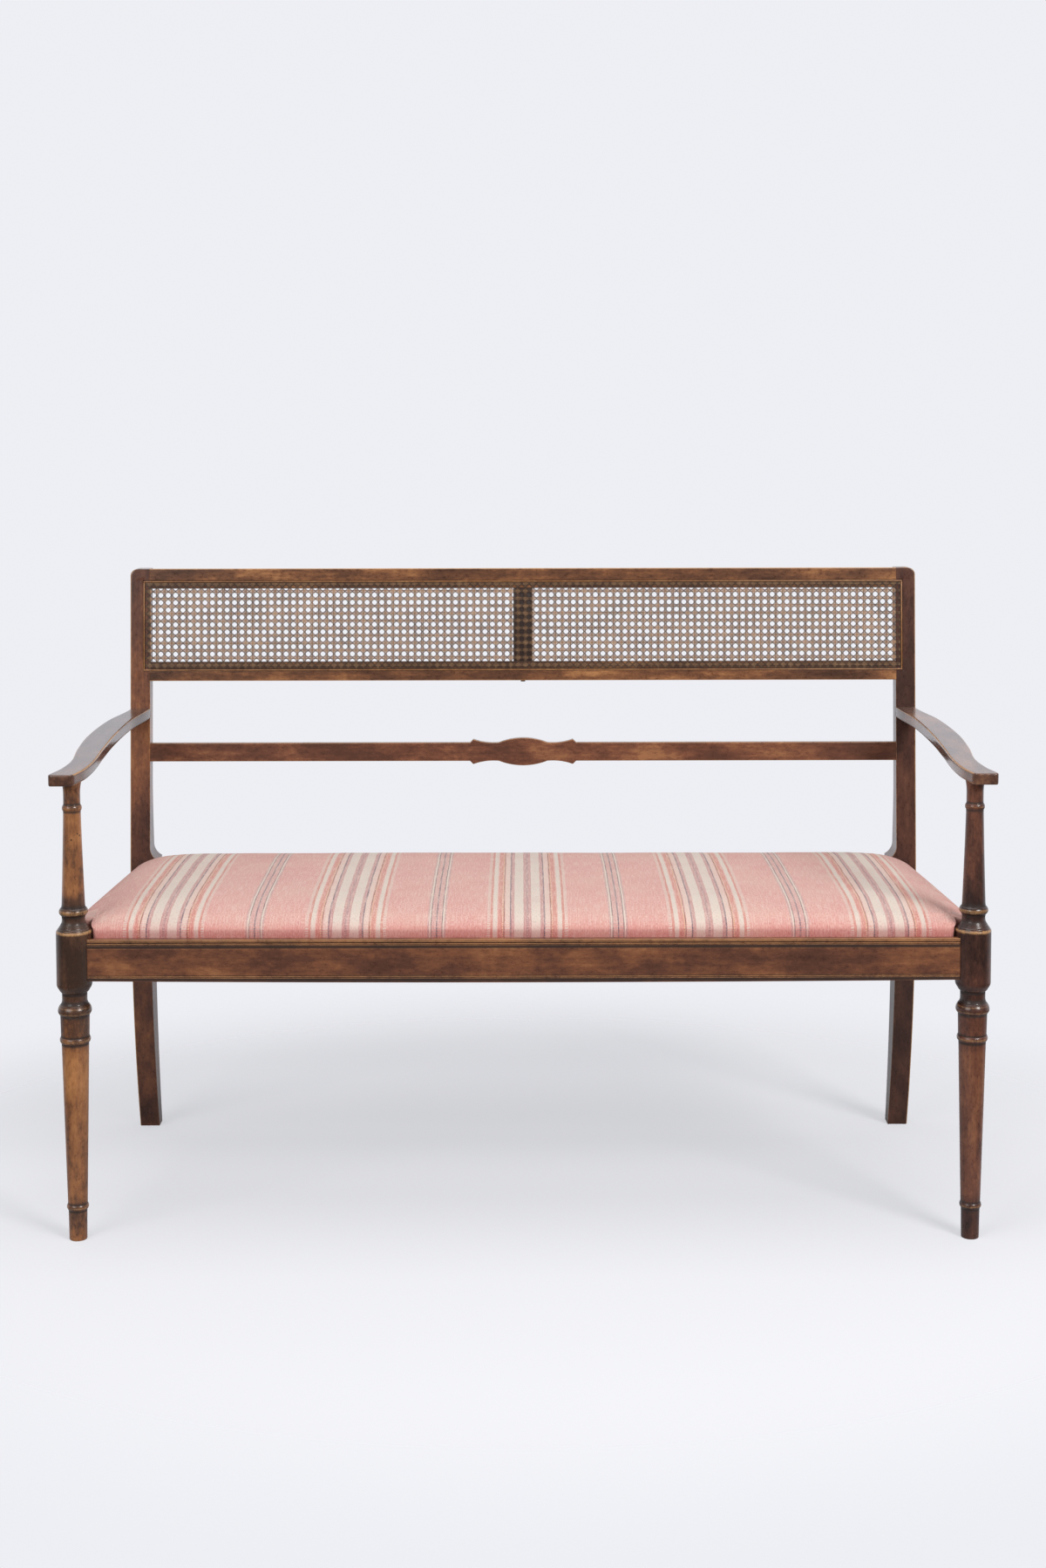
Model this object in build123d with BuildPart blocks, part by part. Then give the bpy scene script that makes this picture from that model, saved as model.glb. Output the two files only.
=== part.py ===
from build123d import *
from math import acos, cos, degrees, hypot, radians, sin, sqrt, tan
import os

os.makedirs("parts", exist_ok=True)

# Settee with open arms, a caned back and a drop-in seat, in millimetres.
# X runs along the seat, -Y is the front, Z is up, and the origin is on the floor under the middle.

# Overall stance
post_top_height = 900.0
front_axis_x = 620.0
back_outer_x = 617.0
seat_setback = 418.0
rear_foot_kick = 60.0
back_angle = 4.4
arm_nose_reach = 28.0

# Clearances and one overrun for every cut
joint_gap = 0.1
mortise_end_gap = 1.0
seat_gap = 1.5
notch_gap = 2.0
layer_gap = 0.3
frame_gap = 0.8
cut_overrun = 4.0

# Seat rails
rail_top = 424.0
rail_height = 58.0
rail_thickness = 26.0
rear_rail_thickness = 24.0
rail_lip_width = 10.0
side_shoulder = 10.0
rebate_depth = 12.0
front_rail_bow = 2.5
tenon_thickness = 9.0
tenon_height = 32.0
front_tenon_length = 14.0
rear_tenon_length = 16.0

# Mouldings along the front rail: bead, groove, bead, then two scratched lines
bead_width = 3.0
bead_groove = 1.2
bead_depth = 1.6
scratch_width = 1.4
scratch_depth = 0.8
upper_scratch_drop = 15.0
lower_scratch_rise = 8.5

# Back posts
post_width = 31.0
post_depth = 28.0
knee_depth = 46.0
rear_foot_depth = 27.0
post_corner_radius = 10.0
knee_flare = 12.0
knee_cove_radius = 22.0
knee_rise = 40.0
knee_drop = 6.0
knee_blend_rise = 150.0
knee_pull_share = 0.35

# Cane frame in the back
crest_height = 30.0
crest_thickness = 20.0
crest_drop = 0.8
cane_opening_height = 115.0
lower_rail_height = 30.0
crest_face = 17.5
lower_face = 15.3
post_face = 20.0
groove_width = 3.4
groove_depth = 7.0
cane_bed_depth = 1.4
rail_arris = 1.6
back_tenon_thickness = 8.0
back_tenon_length = 14.0
back_tenon_shoulder = 5.0
back_tenon_cover = 7.0
muntin_width = 29.7
muntin_thickness = 14.0
muntin_tenon_width = 7.0
muntin_tenon_thickness = 6.0
muntin_tenon_length = 11.0
muntin_tenon_stub = 2.0
muntin_front = 1.8
muntin_tenon_depth = 12.0

# Cane sheet and the spline that wedges it in the groove
cane_thickness = 1.2
cane_hem_depth = 4.6
cane_columns = 28
cane_rows = 4
cane_strand_width = 13.0
spline_proud = 0.5
spline_round = 0.5

# Stay rail with its lens-shaped tablet
stay_rise_share = 0.642
stay_rail_height = 29.0
stay_rail_thickness = 16.0
stay_rail_setback = 1.5
tablet_half_length = 37.9
tablet_half_height = 21.7
tablet_tip_reach = 78.2
tablet_tip_rise = 5.1
tablet_tip_foot = 83.5
tablet_hollow_reach = 58.0
tablet_hollow_depth = 0.8

# Arms
arm_thickness = 16.0
arm_width = 40.0
arm_height_at_post = 681.6
arm_height_at_nose = 654.5
arm_hand_shift = 9.5
arm_ogee_throw = 11.0
arm_arris = 2.6
arm_nose_radius = 9.0
arm_dowel_radius = 3.0
arm_dowel_length = 28.0
arm_dowel_spread = 10.0
arm_dowel_sides = 12
arm_shares = (
    # of the arm's length, of the ogee's throw, of the arm's width
    (0.0, 0.0, 0.775),
    (0.20, 0.97, 0.90),
    (0.44, 0.95, 0.99),
    (0.64, 0.23, 0.94),
    (0.80, -0.59, 0.825),
    (0.914, -0.54, 0.86),
    (1.0, 0.10, 0.90),
)

# Front posts, turned from one length: foot, leg, block and arm support
foot_radius = 12.2
foot_top_radius = 12.8
foot_height = 42.0
ankle_ring_radius = 15.0
ankle_ring_height = 8.5
leg_bottom_radius = 13.5
leg_top_radius = 18.7
leg_ring_radius = 21.0
leg_ring_thickness = 9.5
drum_bottom_radius = 19.4
drum_top_radius = 20.0
drum_height = 30.0
collar_radius = 23.0
collar_height = 15.5
collar_top_radius = 18.8
neck_radius = 17.2
neck_slope_height = 4.0
neck_height = 11.5
cup_foot_radius = 20.6
cup_foot_height = 4.0
block_radius = 24.3
cup_height = 12.0
block_below_rail = 2.0
block_above_rail = 9.5
shoulder_bead = 1.2
shoulder_height = 12.5
shoulder_top_radius = 16.4
cove_radius = 15.3
cove_height = 9.5
ring_radius = 19.8
ring_height = 11.0
shaft_bottom_radius = 16.0
turned_hollow = 0.25
shaft_top_radius = 12.0
top_ring_radius = 13.4
top_ring_height = 9.0
support_neck_radius = 11.6
support_flare_radius = 13.2
support_flare_height = 8.0
support_neck_height = 18.7
pin_radius = 7.0
pin_length = 10.0
foot_chamfer = 0.8
bead_flats = 3

# Corner braces and their screws
brace_front_near = 30.0
brace_rear_near = 46.0
brace_width = 52.0
brace_bottom_rise = 8.0
brace_top_drop = 2.0
screw_head_radius = 4.0
screw_head_height = 3.0
screw_radius = 2.0
screw_bite = 12.0
screw_stand = 16.0
screw_reach = 30.0
screw_sides = 10

# Drop-in seat
cover_thickness = 1.2
cover_hem_width = 28.0
seat_frame_thickness = 14.0
seat_member_width = 60.0
seat_tenon_width = 36.0
seat_tenon_thickness = 5.0
seat_tenon_length = 18.0
seat_brace_width = 45.0
seat_brace_thickness = 12.0
webbing_thickness = 1.2
webbing_width = 50.0
webbing_end_inset = 18.0
webbing_run_pitch = 120.0
webbing_cross_pitch = 122.0
long_straps = 3
cross_straps = 9
hessian_thickness = 0.8
hessian_inset = 12.0
undercloth_thickness = 0.8
seat_edge_height = 11.0
seat_crown_height = 38.5
seat_roll_width = 90.0
seat_side_draw = 2.5
crown_shares = (
    # of the seat's depth from its front edge, of the crown's height
    (0.0, 0.08),
    (0.02, 0.30),
    (0.07, 0.58),
    (0.20, 0.88),
    (0.50, 1.0),
    (0.80, 0.92),
    (0.93, 0.70),
    (0.98, 0.36),
    (1.0, 0.08),
)
roll_share = 0.82
roll_bulge_share = 0.74
roll_bulge_inset_share = 0.30

# Places worked out from the sizes above
rake = radians(back_angle)
rear_reach = seat_setback + rear_foot_kick + rear_foot_depth
axis_y = (arm_nose_reach - rear_reach) / 2
post_face_y = axis_y + seat_setback
rail_bottom = rail_top - rail_height
rail_middle = rail_bottom + rail_height / 2
ledge_height = rail_top - rebate_depth
post_inner_x = back_outer_x - post_width
knee_inner_x = post_inner_x - knee_flare
knee_back_y = post_face_y + knee_depth
back_plane = Plane(origin=(0, post_face_y, rail_top), x_dir=(1, 0, 0), z_dir=(0, -cos(rake), sin(rake)))
back_length = (post_top_height - rail_top) / cos(rake)
crest_top = back_length - crest_drop
opening_top = crest_top - crest_height
opening_bottom = opening_top - cane_opening_height
opening_middle = (opening_top + opening_bottom) / 2
lower_rail_bottom = opening_bottom - lower_rail_height
stay_rail_rise = (lower_rail_bottom - stay_rail_height) * stay_rise_share
bed_half_width = back_outer_x - post_face
bed_top = crest_top - crest_face
bed_bottom = lower_rail_bottom + lower_face
bed_middle = (bed_top + bed_bottom) / 2
bed_height = bed_top - bed_bottom
rail_front_y = axis_y - rail_thickness / 2
rail_back_y = axis_y + rail_thickness / 2
lip_y = rail_front_y + rail_lip_width
rear_rail_front_y = knee_back_y - rear_rail_thickness
rear_lip_y = knee_back_y - rail_lip_width
front_block_flat = sqrt(block_radius ** 2 - (rail_thickness / 2) ** 2)
front_rail_half = front_axis_x - front_block_flat

# The side rails run straight from the outside of the front block to the outside of the back post
side_front = Vector(front_axis_x + block_radius, axis_y)
side_rear = Vector(back_outer_x, post_face_y)
side_run = (side_rear - side_front).normalized()
side_in = Vector(-side_run.Y, side_run.X)


def side_point(inset, y):
    """Point at depth y on the line that lies inset from the right side rail's outer face."""
    start = side_front + side_in * inset
    return Vector(start.X + side_run.X * (y - start.Y) / side_run.Y, y)


side_tenon_point = side_point(rail_thickness / 2, axis_y + block_radius)
side_tenon_plane = Plane(origin=(side_tenon_point.X, side_tenon_point.Y, rail_middle),
                         x_dir=(side_in.X, side_in.Y, 0), z_dir=(-side_run.X, -side_run.Y, 0))
side_rear_point = side_point(rail_thickness / 2, post_face_y)
side_rear_plane = Plane(origin=(side_rear_point.X, side_rear_point.Y, rail_middle),
                        x_dir=(1, 0, 0), z_dir=(0, 1, 0))
front_tenon_plane = Plane(origin=(front_rail_half, axis_y, rail_middle), x_dir=(0, 1, 0), z_dir=(1, 0, 0))
rear_tenon_plane = Plane(origin=(knee_inner_x, knee_back_y - rear_rail_thickness / 2, rail_middle),
                         x_dir=(0, 1, 0), z_dir=(1, 0, 0))

# Arms lie on a plane that falls from the back post to the nose
post_face_at_arm = post_face_y + (arm_height_at_post - rail_top) * tan(rake)
arm_run = post_face_at_arm - (axis_y - arm_nose_reach)
arm_fall = arm_height_at_post - arm_height_at_nose
arm_length = hypot(arm_run, arm_fall)
arm_plane = Plane(origin=(0, post_face_at_arm, arm_height_at_post), x_dir=(1, 0, 0),
                  z_dir=(0, -arm_fall / arm_length, arm_run / arm_length))
arm_under_plane = arm_plane.offset(-arm_thickness)
post_centre_x = back_outer_x - post_width / 2
arm_height_at_axis = arm_height_at_post - arm_fall * (post_face_at_arm - axis_y) / arm_run
support_height = arm_height_at_axis - arm_thickness * arm_length / arm_run
dowel_plane = Plane(origin=arm_plane.offset(-arm_thickness / 2).origin, x_dir=(1, 0, 0),
                    z_dir=arm_plane.y_dir)

# Corner braces cross the inner corners between a side rail and the front or rear rail
front_corner = side_point(rail_thickness, rail_back_y)
rear_corner = side_point(rail_thickness, rear_rail_front_y)
cross_run = Vector(-1, 0)
brace_bottom = rail_bottom + brace_bottom_rise
brace_top = ledge_height - brace_top_drop
brace_middle = (brace_bottom + brace_top) / 2

# Levels of the drop-in seat, from the ledge upwards
seat_base = ledge_height + layer_gap
seat_hem_top = seat_base + cover_thickness
seat_frame_bottom = seat_hem_top + layer_gap
seat_frame_top = seat_frame_bottom + seat_frame_thickness
seat_frame_middle = seat_frame_bottom + seat_frame_thickness / 2
hessian_bottom = seat_frame_top + 2 * webbing_thickness
hessian_top = hessian_bottom + hessian_thickness
seat_front_y = lip_y + seat_gap
seat_rear_y = rear_lip_y - seat_gap
front_notch_x = front_axis_x - block_radius - notch_gap
front_notch_y = axis_y + block_radius + notch_gap
rear_notch_x = knee_inner_x - notch_gap
rear_notch_y = post_face_y - notch_gap
frame_inset = cover_thickness + frame_gap
member_front_y = seat_front_y + frame_inset + seat_member_width
member_rear_y = seat_rear_y - frame_inset - seat_member_width


def bead(low, high, middle_radius):
    """Turned bead or cove between two points, cut as short flats on the arc through its middle."""
    arc = ThreePointArc(low, (middle_radius, (low[1] + high[1]) / 2), high, mode=Mode.PRIVATE)
    Polyline(*[arc @ (step / bead_flats) for step in range(bead_flats + 1)])


def turned_outline():
    """Half outline of the front post, from the floor up past the underside of the arm."""
    ankle_top = foot_height + ankle_ring_height
    block_bottom = rail_bottom - block_below_rail
    block_top = rail_top + block_above_rail
    cup_top = block_bottom - cup_height
    neck_top = cup_top - cup_foot_height
    neck_bottom = neck_top - neck_height
    collar_top = neck_bottom - neck_slope_height
    drum_top = collar_top - collar_height
    ring_top = drum_top - drum_height
    leg_top = ring_top - leg_ring_thickness
    cup_mid_radius = cup_foot_radius + (block_radius - cup_foot_radius) * roll_bulge_share
    shoulder_top = block_top + shoulder_height
    cove_top = shoulder_top + cove_height
    upper_ring_top = cove_top + ring_height
    support_neck_top = support_height - support_flare_height
    top_ring_top = support_neck_top - support_neck_height
    shaft_top = top_ring_top - top_ring_height
    leg_mid_radius = (leg_bottom_radius + leg_top_radius) / 2 - turned_hollow
    shaft_mid_radius = (shaft_bottom_radius + shaft_top_radius) / 2 - turned_hollow
    Polyline((0, 0), (foot_radius - foot_chamfer, 0), (foot_radius, foot_chamfer))
    Line((foot_radius, foot_chamfer), (foot_top_radius, foot_height))
    bead((foot_top_radius, foot_height), (leg_bottom_radius, ankle_top), ankle_ring_radius)
    ThreePointArc((leg_bottom_radius, ankle_top), (leg_mid_radius, (ankle_top + leg_top) / 2),
                  (leg_top_radius, leg_top))
    bead((leg_top_radius, leg_top), (drum_bottom_radius, ring_top), leg_ring_radius)
    Line((drum_bottom_radius, ring_top), (drum_top_radius, drum_top))
    bead((drum_top_radius, drum_top), (collar_top_radius, collar_top), collar_radius)
    Polyline((collar_top_radius, collar_top), (neck_radius, neck_bottom), (neck_radius, neck_top),
             (cup_foot_radius, cup_top))
    bead((cup_foot_radius, cup_top), (block_radius, block_bottom), cup_mid_radius)
    Polyline((block_radius, block_bottom), (block_radius, block_top),
             (block_radius - shoulder_bead, block_top + shoulder_bead), (shoulder_top_radius, shoulder_top))
    bead((shoulder_top_radius, shoulder_top), (shoulder_top_radius, cove_top), cove_radius)
    bead((shoulder_top_radius, cove_top), (shaft_bottom_radius, upper_ring_top), ring_radius)
    ThreePointArc((shaft_bottom_radius, upper_ring_top),
                  (shaft_mid_radius, (upper_ring_top + shaft_top) / 2), (shaft_top_radius, shaft_top))
    bead((shaft_top_radius, shaft_top), (support_neck_radius, top_ring_top), top_ring_radius)
    Polyline((support_neck_radius, top_ring_top), (support_neck_radius, support_neck_top),
             (support_flare_radius, support_height), (support_flare_radius, support_height + cut_overrun),
             (0, support_height + cut_overrun), (0, 0))


def tenon(plane, width, height, length, root):
    """Adds a tenon that stands out of a shoulder plane and roots behind it."""
    with BuildSketch(plane.offset(-root)) as section:
        Rectangle(width, height)
    extrude(section.sketch, amount=root + length)


def mortise(plane, width, height, length):
    """Cuts the blind hole for a tenon, with its gaps round the sides and at the end."""
    with BuildSketch(plane.offset(-cut_overrun)) as section:
        Rectangle(width + 2 * joint_gap, height + 2 * joint_gap)
    extrude(section.sketch, amount=cut_overrun + length + mortise_end_gap, mode=Mode.SUBTRACT)


def back_bar(low, high, front, thickness):
    """Adds a bar between the back posts, between two distances up the back."""
    with BuildSketch(back_plane.offset(-front)) as section:
        with Locations((0, (low + high) / 2)):
            Rectangle(2 * post_inner_x, high - low)
    extrude(section.sketch, amount=-thickness)


def back_tenon_plane(low, high, depth):
    """Shoulder plane of a back rail's right tenon, at a depth behind the face of the back."""
    middle = back_plane.from_local_coords((post_inner_x, (low + high) / 2, -depth))
    return Plane(origin=middle, x_dir=back_plane.z_dir, z_dir=(1, 0, 0))


def cut_cane_bed():
    """Cuts the shallow bed under the cane and the groove that holds its edge."""
    with BuildSketch(back_plane.offset(cut_overrun)) as bed:
        with Locations((0, bed_middle)):
            Rectangle(2 * bed_half_width, bed_height)
    extrude(bed.sketch, amount=-cut_overrun - cane_bed_depth, mode=Mode.SUBTRACT)
    with BuildSketch(back_plane.offset(cut_overrun)) as ring:
        with Locations((0, bed_middle)):
            Rectangle(2 * bed_half_width, bed_height)
            Rectangle(2 * (bed_half_width - groove_width), bed_height - 2 * groove_width,
                      mode=Mode.SUBTRACT)
    extrude(ring.sketch, amount=-cut_overrun - groove_depth, mode=Mode.SUBTRACT)


def brace_screw_planes():
    """Planes of the four screws on the right, on the rails' inner faces, looking into the brace."""
    places = []
    for corner, run, rail_in in ((front_corner, side_run, Vector(0, 1)),
                                 (rear_corner, side_run * -1, Vector(0, -1))):
        near = brace_front_near if rail_in.Y > 0 else brace_rear_near
        on_side = corner + run * (near + screw_reach)
        on_cross = corner + cross_run * (near + screw_reach)
        places.append(Plane(origin=(on_side.X, on_side.Y, brace_middle), x_dir=(0, 0, 1),
                            z_dir=(side_in.X, side_in.Y, 0)))
        places.append(Plane(origin=(on_cross.X, on_cross.Y, brace_middle), x_dir=(0, 0, 1),
                            z_dir=(0, rail_in.Y, 0)))
    return places


def brace_screw_holes(grow):
    """Cuts the clearance holes and head recesses of the right-hand brace screws."""
    for place in brace_screw_planes():
        with BuildSketch(place.offset(-screw_bite - grow)) as shank:
            RegularPolygon(screw_radius + grow, screw_sides)
        extrude(shank.sketch, amount=screw_bite + screw_stand + grow, mode=Mode.SUBTRACT)
        with BuildSketch(place.offset(screw_stand - screw_head_height - grow)) as head:
            RegularPolygon(screw_head_radius + grow, screw_sides)
        extrude(head.sketch, amount=brace_width, mode=Mode.SUBTRACT)


def arm_dowel_places():
    """Places of one arm's dowels on the dowel plane, outside the cane's groove in the post."""
    middle = (bed_half_width + back_outer_x) / 2
    return ((middle - arm_dowel_spread / 2, 0), (middle + arm_dowel_spread / 2, 0))


def arm_point(length_share, throw_share, width_share, edge):
    """Point on one edge of the arm's plan, on the arm plane: edge is 1 outside and -1 inside."""
    centre = post_centre_x + (front_axis_x + arm_hand_shift - post_centre_x) * length_share
    return (centre + arm_ogee_throw * throw_share + edge * arm_width * width_share / 2,
            -arm_length * length_share)


def seat_plan(inset):
    """Draws the plan of the seat, notched round the four posts and drawn in by an inset."""
    side_inset = rail_lip_width + seat_gap + inset
    corners = (
        Vector(front_notch_x - inset, seat_front_y + inset),
        Vector(front_notch_x - inset, front_notch_y + inset),
        side_point(side_inset, front_notch_y + inset),
        side_point(side_inset, rear_notch_y - inset),
        Vector(rear_notch_x - inset, rear_notch_y - inset),
        Vector(rear_notch_x - inset, seat_rear_y - inset),
    )
    right = [(corner.X, corner.Y) for corner in corners]
    left = [(-x, y) for x, y in reversed(right)]
    Polygon(*right, *left, align=None)


def seat_slab(inset, bottom, thickness):
    """Adds a flat slab with the seat's notched plan."""
    with BuildSketch(Plane.XY.offset(bottom)) as plan:
        seat_plan(inset)
    extrude(plan.sketch, amount=thickness)


def pad_section(y, rise_share, inset, base):
    """Section of the crowned pad across the seat at depth y."""
    half = side_point(rail_lip_width + seat_gap + inset, y).X
    edge = rail_top + seat_edge_height - inset
    rise = (seat_crown_height - seat_edge_height) * rise_share
    drawn = half - seat_side_draw
    knee_half = half if base < seat_frame_top else drawn
    knee = max(seat_frame_top, (base + edge) / 2)
    roll_end = half - seat_roll_width
    bulge_x = drawn - (seat_roll_width - seat_side_draw) * roll_bulge_inset_share
    bulge = edge + rise * roll_share * roll_bulge_share
    with BuildSketch(Plane(origin=(0, y, 0), x_dir=(1, 0, 0), z_dir=(0, -1, 0))) as section:
        with BuildLine():
            Polyline((-drawn, edge), (-knee_half, knee), (-knee_half, base),
                     (knee_half, base), (knee_half, knee), (drawn, edge))
            ThreePointArc((drawn, edge), (bulge_x, bulge), (roll_end, edge + rise * roll_share))
            ThreePointArc((roll_end, edge + rise * roll_share), (0, edge + rise),
                          (-roll_end, edge + rise * roll_share))
            ThreePointArc((-roll_end, edge + rise * roll_share), (-bulge_x, bulge), (-drawn, edge))
        make_face()
    return section.sketch


def pad(inset, base):
    """Adds the crowned pad, drawn in by an inset, with its corners notched round the posts."""
    front = seat_front_y + inset
    depth = seat_rear_y - inset - front
    loft([pad_section(front + depth * depth_share, rise_share, inset, base)
          for depth_share, rise_share in crown_shares], ruled=True)
    crown = seat_crown_height + rail_top - base + cut_overrun
    for side in (-1, 1):
        for x, near, far in ((front_notch_x - inset, seat_front_y - cut_overrun, front_notch_y + inset),
                             (rear_notch_x - inset, rear_notch_y - inset, seat_rear_y + cut_overrun)):
            with BuildSketch(Plane.XY.offset(base - cut_overrun)) as notch:
                with Locations((side * (x + block_radius * 2), (near + far) / 2)):
                    Rectangle(4 * block_radius, far - near)
            extrude(notch.sketch, amount=crown + cut_overrun, mode=Mode.SUBTRACT)


def seat_member(near, far, inner, outer):
    """Adds the part of the seat frame that lies between two depths and two distances across."""
    with BuildSketch(Plane.XY.offset(seat_frame_bottom)) as plan:
        seat_plan(frame_inset)
        with Locations(((inner + outer) / 2, (near + far) / 2)):
            Rectangle(outer - inner, far - near, mode=Mode.INTERSECT)
    extrude(plan.sketch, amount=seat_frame_thickness)


def seat_tenon_planes(x):
    """Shoulder planes of a front-to-back member at x, looking forwards and backwards."""
    return (Plane(origin=(x, member_front_y, seat_frame_middle), x_dir=(1, 0, 0), z_dir=(0, -1, 0)),
            Plane(origin=(x, member_rear_y, seat_frame_middle), x_dir=(1, 0, 0), z_dir=(0, 1, 0)))


side_member_out = side_point(rail_lip_width + seat_gap + frame_inset, member_rear_y).X
side_member_in = side_member_out - seat_member_width
side_member_x = (side_member_in + side_member_out) / 2

# Front posts
with BuildPart() as front_post_right:
    post_section = Plane(origin=(front_axis_x, axis_y, 0), x_dir=(1, 0, 0), z_dir=(0, -1, 0))
    with BuildSketch(post_section):
        with BuildLine():
            turned_outline()
        make_face()
    revolve(axis=Axis((front_axis_x, axis_y, 0), (0, 0, 1)))
    split(bisect_by=arm_under_plane, keep=Keep.BOTTOM)
    with BuildSketch(Plane.XY.offset(support_height - support_flare_height)):
        with Locations((front_axis_x, axis_y)):
            Circle(pin_radius)
    extrude(amount=support_flare_height + pin_length)
    mortise(front_tenon_plane, tenon_thickness, tenon_height, front_tenon_length)
    mortise(side_tenon_plane, tenon_thickness, tenon_height, front_tenon_length)
front_post_right.part.label = "front_post_right"
export_step(front_post_right.part, "parts/front_post_right.step")

with BuildPart() as front_post_left:
    mirror(front_post_right.part, about=Plane.YZ)
front_post_left.part.label = "front_post_left"
export_step(front_post_left.part, "parts/front_post_left.step")

# Back posts
with BuildPart() as back_post_right:
    upper_front = (post_face_y + back_length * sin(rake), post_top_height)
    upper_back_low = back_plane.from_local_coords((0, knee_blend_rise, -post_depth))
    upper_back_top = back_plane.from_local_coords((0, back_length, -post_depth))
    with BuildSketch(Plane.YZ.offset(knee_inner_x)):
        with BuildLine():
            Line((post_face_y + rear_foot_kick, 0), (post_face_y + rear_foot_kick + rear_foot_depth, 0))
            TangentArc((knee_back_y, rail_bottom), (post_face_y + rear_foot_kick + rear_foot_depth, 0),
                       tangent=(0, -1))
            Line((knee_back_y, rail_bottom), (knee_back_y, rail_top))
            Bezier((knee_back_y, rail_top), (knee_back_y, rail_top + knee_blend_rise * knee_pull_share),
                   (upper_back_low.Y - knee_blend_rise * knee_pull_share * sin(rake),
                    upper_back_low.Z - knee_blend_rise * knee_pull_share * cos(rake)),
                   (upper_back_low.Y, upper_back_low.Z))
            Line((upper_back_low.Y, upper_back_low.Z), (upper_back_top.Y, upper_back_top.Z))
            Line((upper_back_top.Y, upper_back_top.Z), upper_front)
            Line(upper_front, (post_face_y, rail_top))
            Line((post_face_y, rail_top), (post_face_y, rail_bottom))
            TangentArc((post_face_y, rail_bottom), (post_face_y + rear_foot_kick, 0), tangent=(0, -1))
        make_face()
    extrude(amount=back_outer_x - knee_inner_x)
    cove_turn = acos((knee_cove_radius - knee_flare) / knee_cove_radius)
    cove_drop = knee_cove_radius * sin(cove_turn)
    upper_cove = rail_top + knee_rise
    lower_cove = rail_bottom - knee_drop
    with BuildSketch(Plane.XZ.offset(-post_face_y + cut_overrun)):
        with BuildLine():
            Line((post_inner_x, post_top_height + cut_overrun), (post_inner_x, upper_cove))
            JernArc(start=(post_inner_x, upper_cove), tangent=(0, -1), radius=knee_cove_radius,
                    arc_size=-degrees(cove_turn))
            Line((knee_inner_x, upper_cove - cove_drop), (knee_inner_x, lower_cove))
            JernArc(start=(post_inner_x, lower_cove - cove_drop), tangent=(0, 1), radius=knee_cove_radius,
                    arc_size=degrees(cove_turn))
            Polyline((post_inner_x, lower_cove - cove_drop), (post_inner_x, -cut_overrun),
                     (back_outer_x, -cut_overrun), (back_outer_x, post_top_height + cut_overrun),
                     (post_inner_x, post_top_height + cut_overrun))
        make_face()
    extrude(amount=-post_depth - rear_reach, mode=Mode.INTERSECT)
    top_corner = back_post_right.faces().sort_by(Axis.Z)[-1].edges().sort_by(Axis.X)[-1]
    fillet(top_corner, radius=post_corner_radius)
    cut_cane_bed()
    mortise(side_rear_plane, tenon_thickness, tenon_height, rear_tenon_length)
    mortise(rear_tenon_plane, tenon_thickness, tenon_height, rear_tenon_length)
    for low, high, depth in ((crest_top - crest_height, crest_top, crest_thickness - back_tenon_cover),
                             (lower_rail_bottom, opening_bottom, crest_thickness - back_tenon_cover),
                             (stay_rail_rise, stay_rail_rise + stay_rail_height,
                              stay_rail_setback + stay_rail_thickness / 2)):
        mortise(back_tenon_plane(low, high, depth), back_tenon_thickness,
                high - low - 2 * back_tenon_shoulder, back_tenon_length)
    with BuildSketch(dowel_plane.offset(-cut_overrun)):
        with Locations(*arm_dowel_places()):
            Circle(arm_dowel_radius + joint_gap)
    extrude(amount=cut_overrun + arm_dowel_length / 2 + mortise_end_gap, mode=Mode.SUBTRACT)
back_post_right.part.label = "back_post_right"
export_step(back_post_right.part, "parts/back_post_right.step")

with BuildPart() as back_post_left:
    mirror(back_post_right.part, about=Plane.YZ)
back_post_left.part.label = "back_post_left"
export_step(back_post_left.part, "parts/back_post_left.step")

# Front rail
with BuildPart() as front_rail:
    with BuildSketch(Plane.XZ.offset(-rail_front_y)):
        with BuildLine():
            Polyline((front_rail_half, rail_bottom), (front_rail_half, rail_top),
                     (-front_rail_half, rail_top), (-front_rail_half, rail_bottom))
            ThreePointArc((-front_rail_half, rail_bottom), (0, rail_bottom - front_rail_bow),
                          (front_rail_half, rail_bottom))
        make_face()
    extrude(amount=-rail_thickness)
    with BuildSketch(Plane.YZ.offset(-front_rail_half)):
        rebate_width = rail_back_y + cut_overrun - lip_y
        with Locations((lip_y + rebate_width / 2, ledge_height + (rebate_depth + cut_overrun) / 2)):
            Rectangle(rebate_width, rebate_depth + cut_overrun)
        for top, width, depth in ((rail_top - bead_width, bead_groove, bead_depth),
                                  (rail_top - 2 * bead_width - bead_groove, bead_groove, bead_depth),
                                  (rail_top - upper_scratch_drop, scratch_width, scratch_depth),
                                  (rail_bottom + lower_scratch_rise, scratch_width, scratch_depth)):
            with Locations((rail_front_y, top - width / 2)):
                Rectangle(2 * depth, width)
    extrude(amount=2 * front_rail_half, mode=Mode.SUBTRACT)
    for side in (-1, 1):
        with BuildSketch(Plane.XY.offset(rail_bottom - cut_overrun)):
            with Locations((side * front_axis_x, axis_y)):
                Circle(block_radius + joint_gap)
        extrude(amount=rail_height + 2 * cut_overrun, mode=Mode.SUBTRACT)
    tenon(front_tenon_plane, tenon_thickness, tenon_height, front_tenon_length, rail_thickness)
    tenon(Plane(origin=(-front_rail_half, axis_y, rail_middle), x_dir=(0, 1, 0), z_dir=(-1, 0, 0)),
          tenon_thickness, tenon_height, front_tenon_length, rail_thickness)
    brace_screw_holes(joint_gap)
    mirror(split(bisect_by=Plane.YZ, keep=Keep.TOP), about=Plane.YZ)
front_rail.part.label = "front_rail"
export_step(front_rail.part, "parts/front_rail.step")

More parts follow.
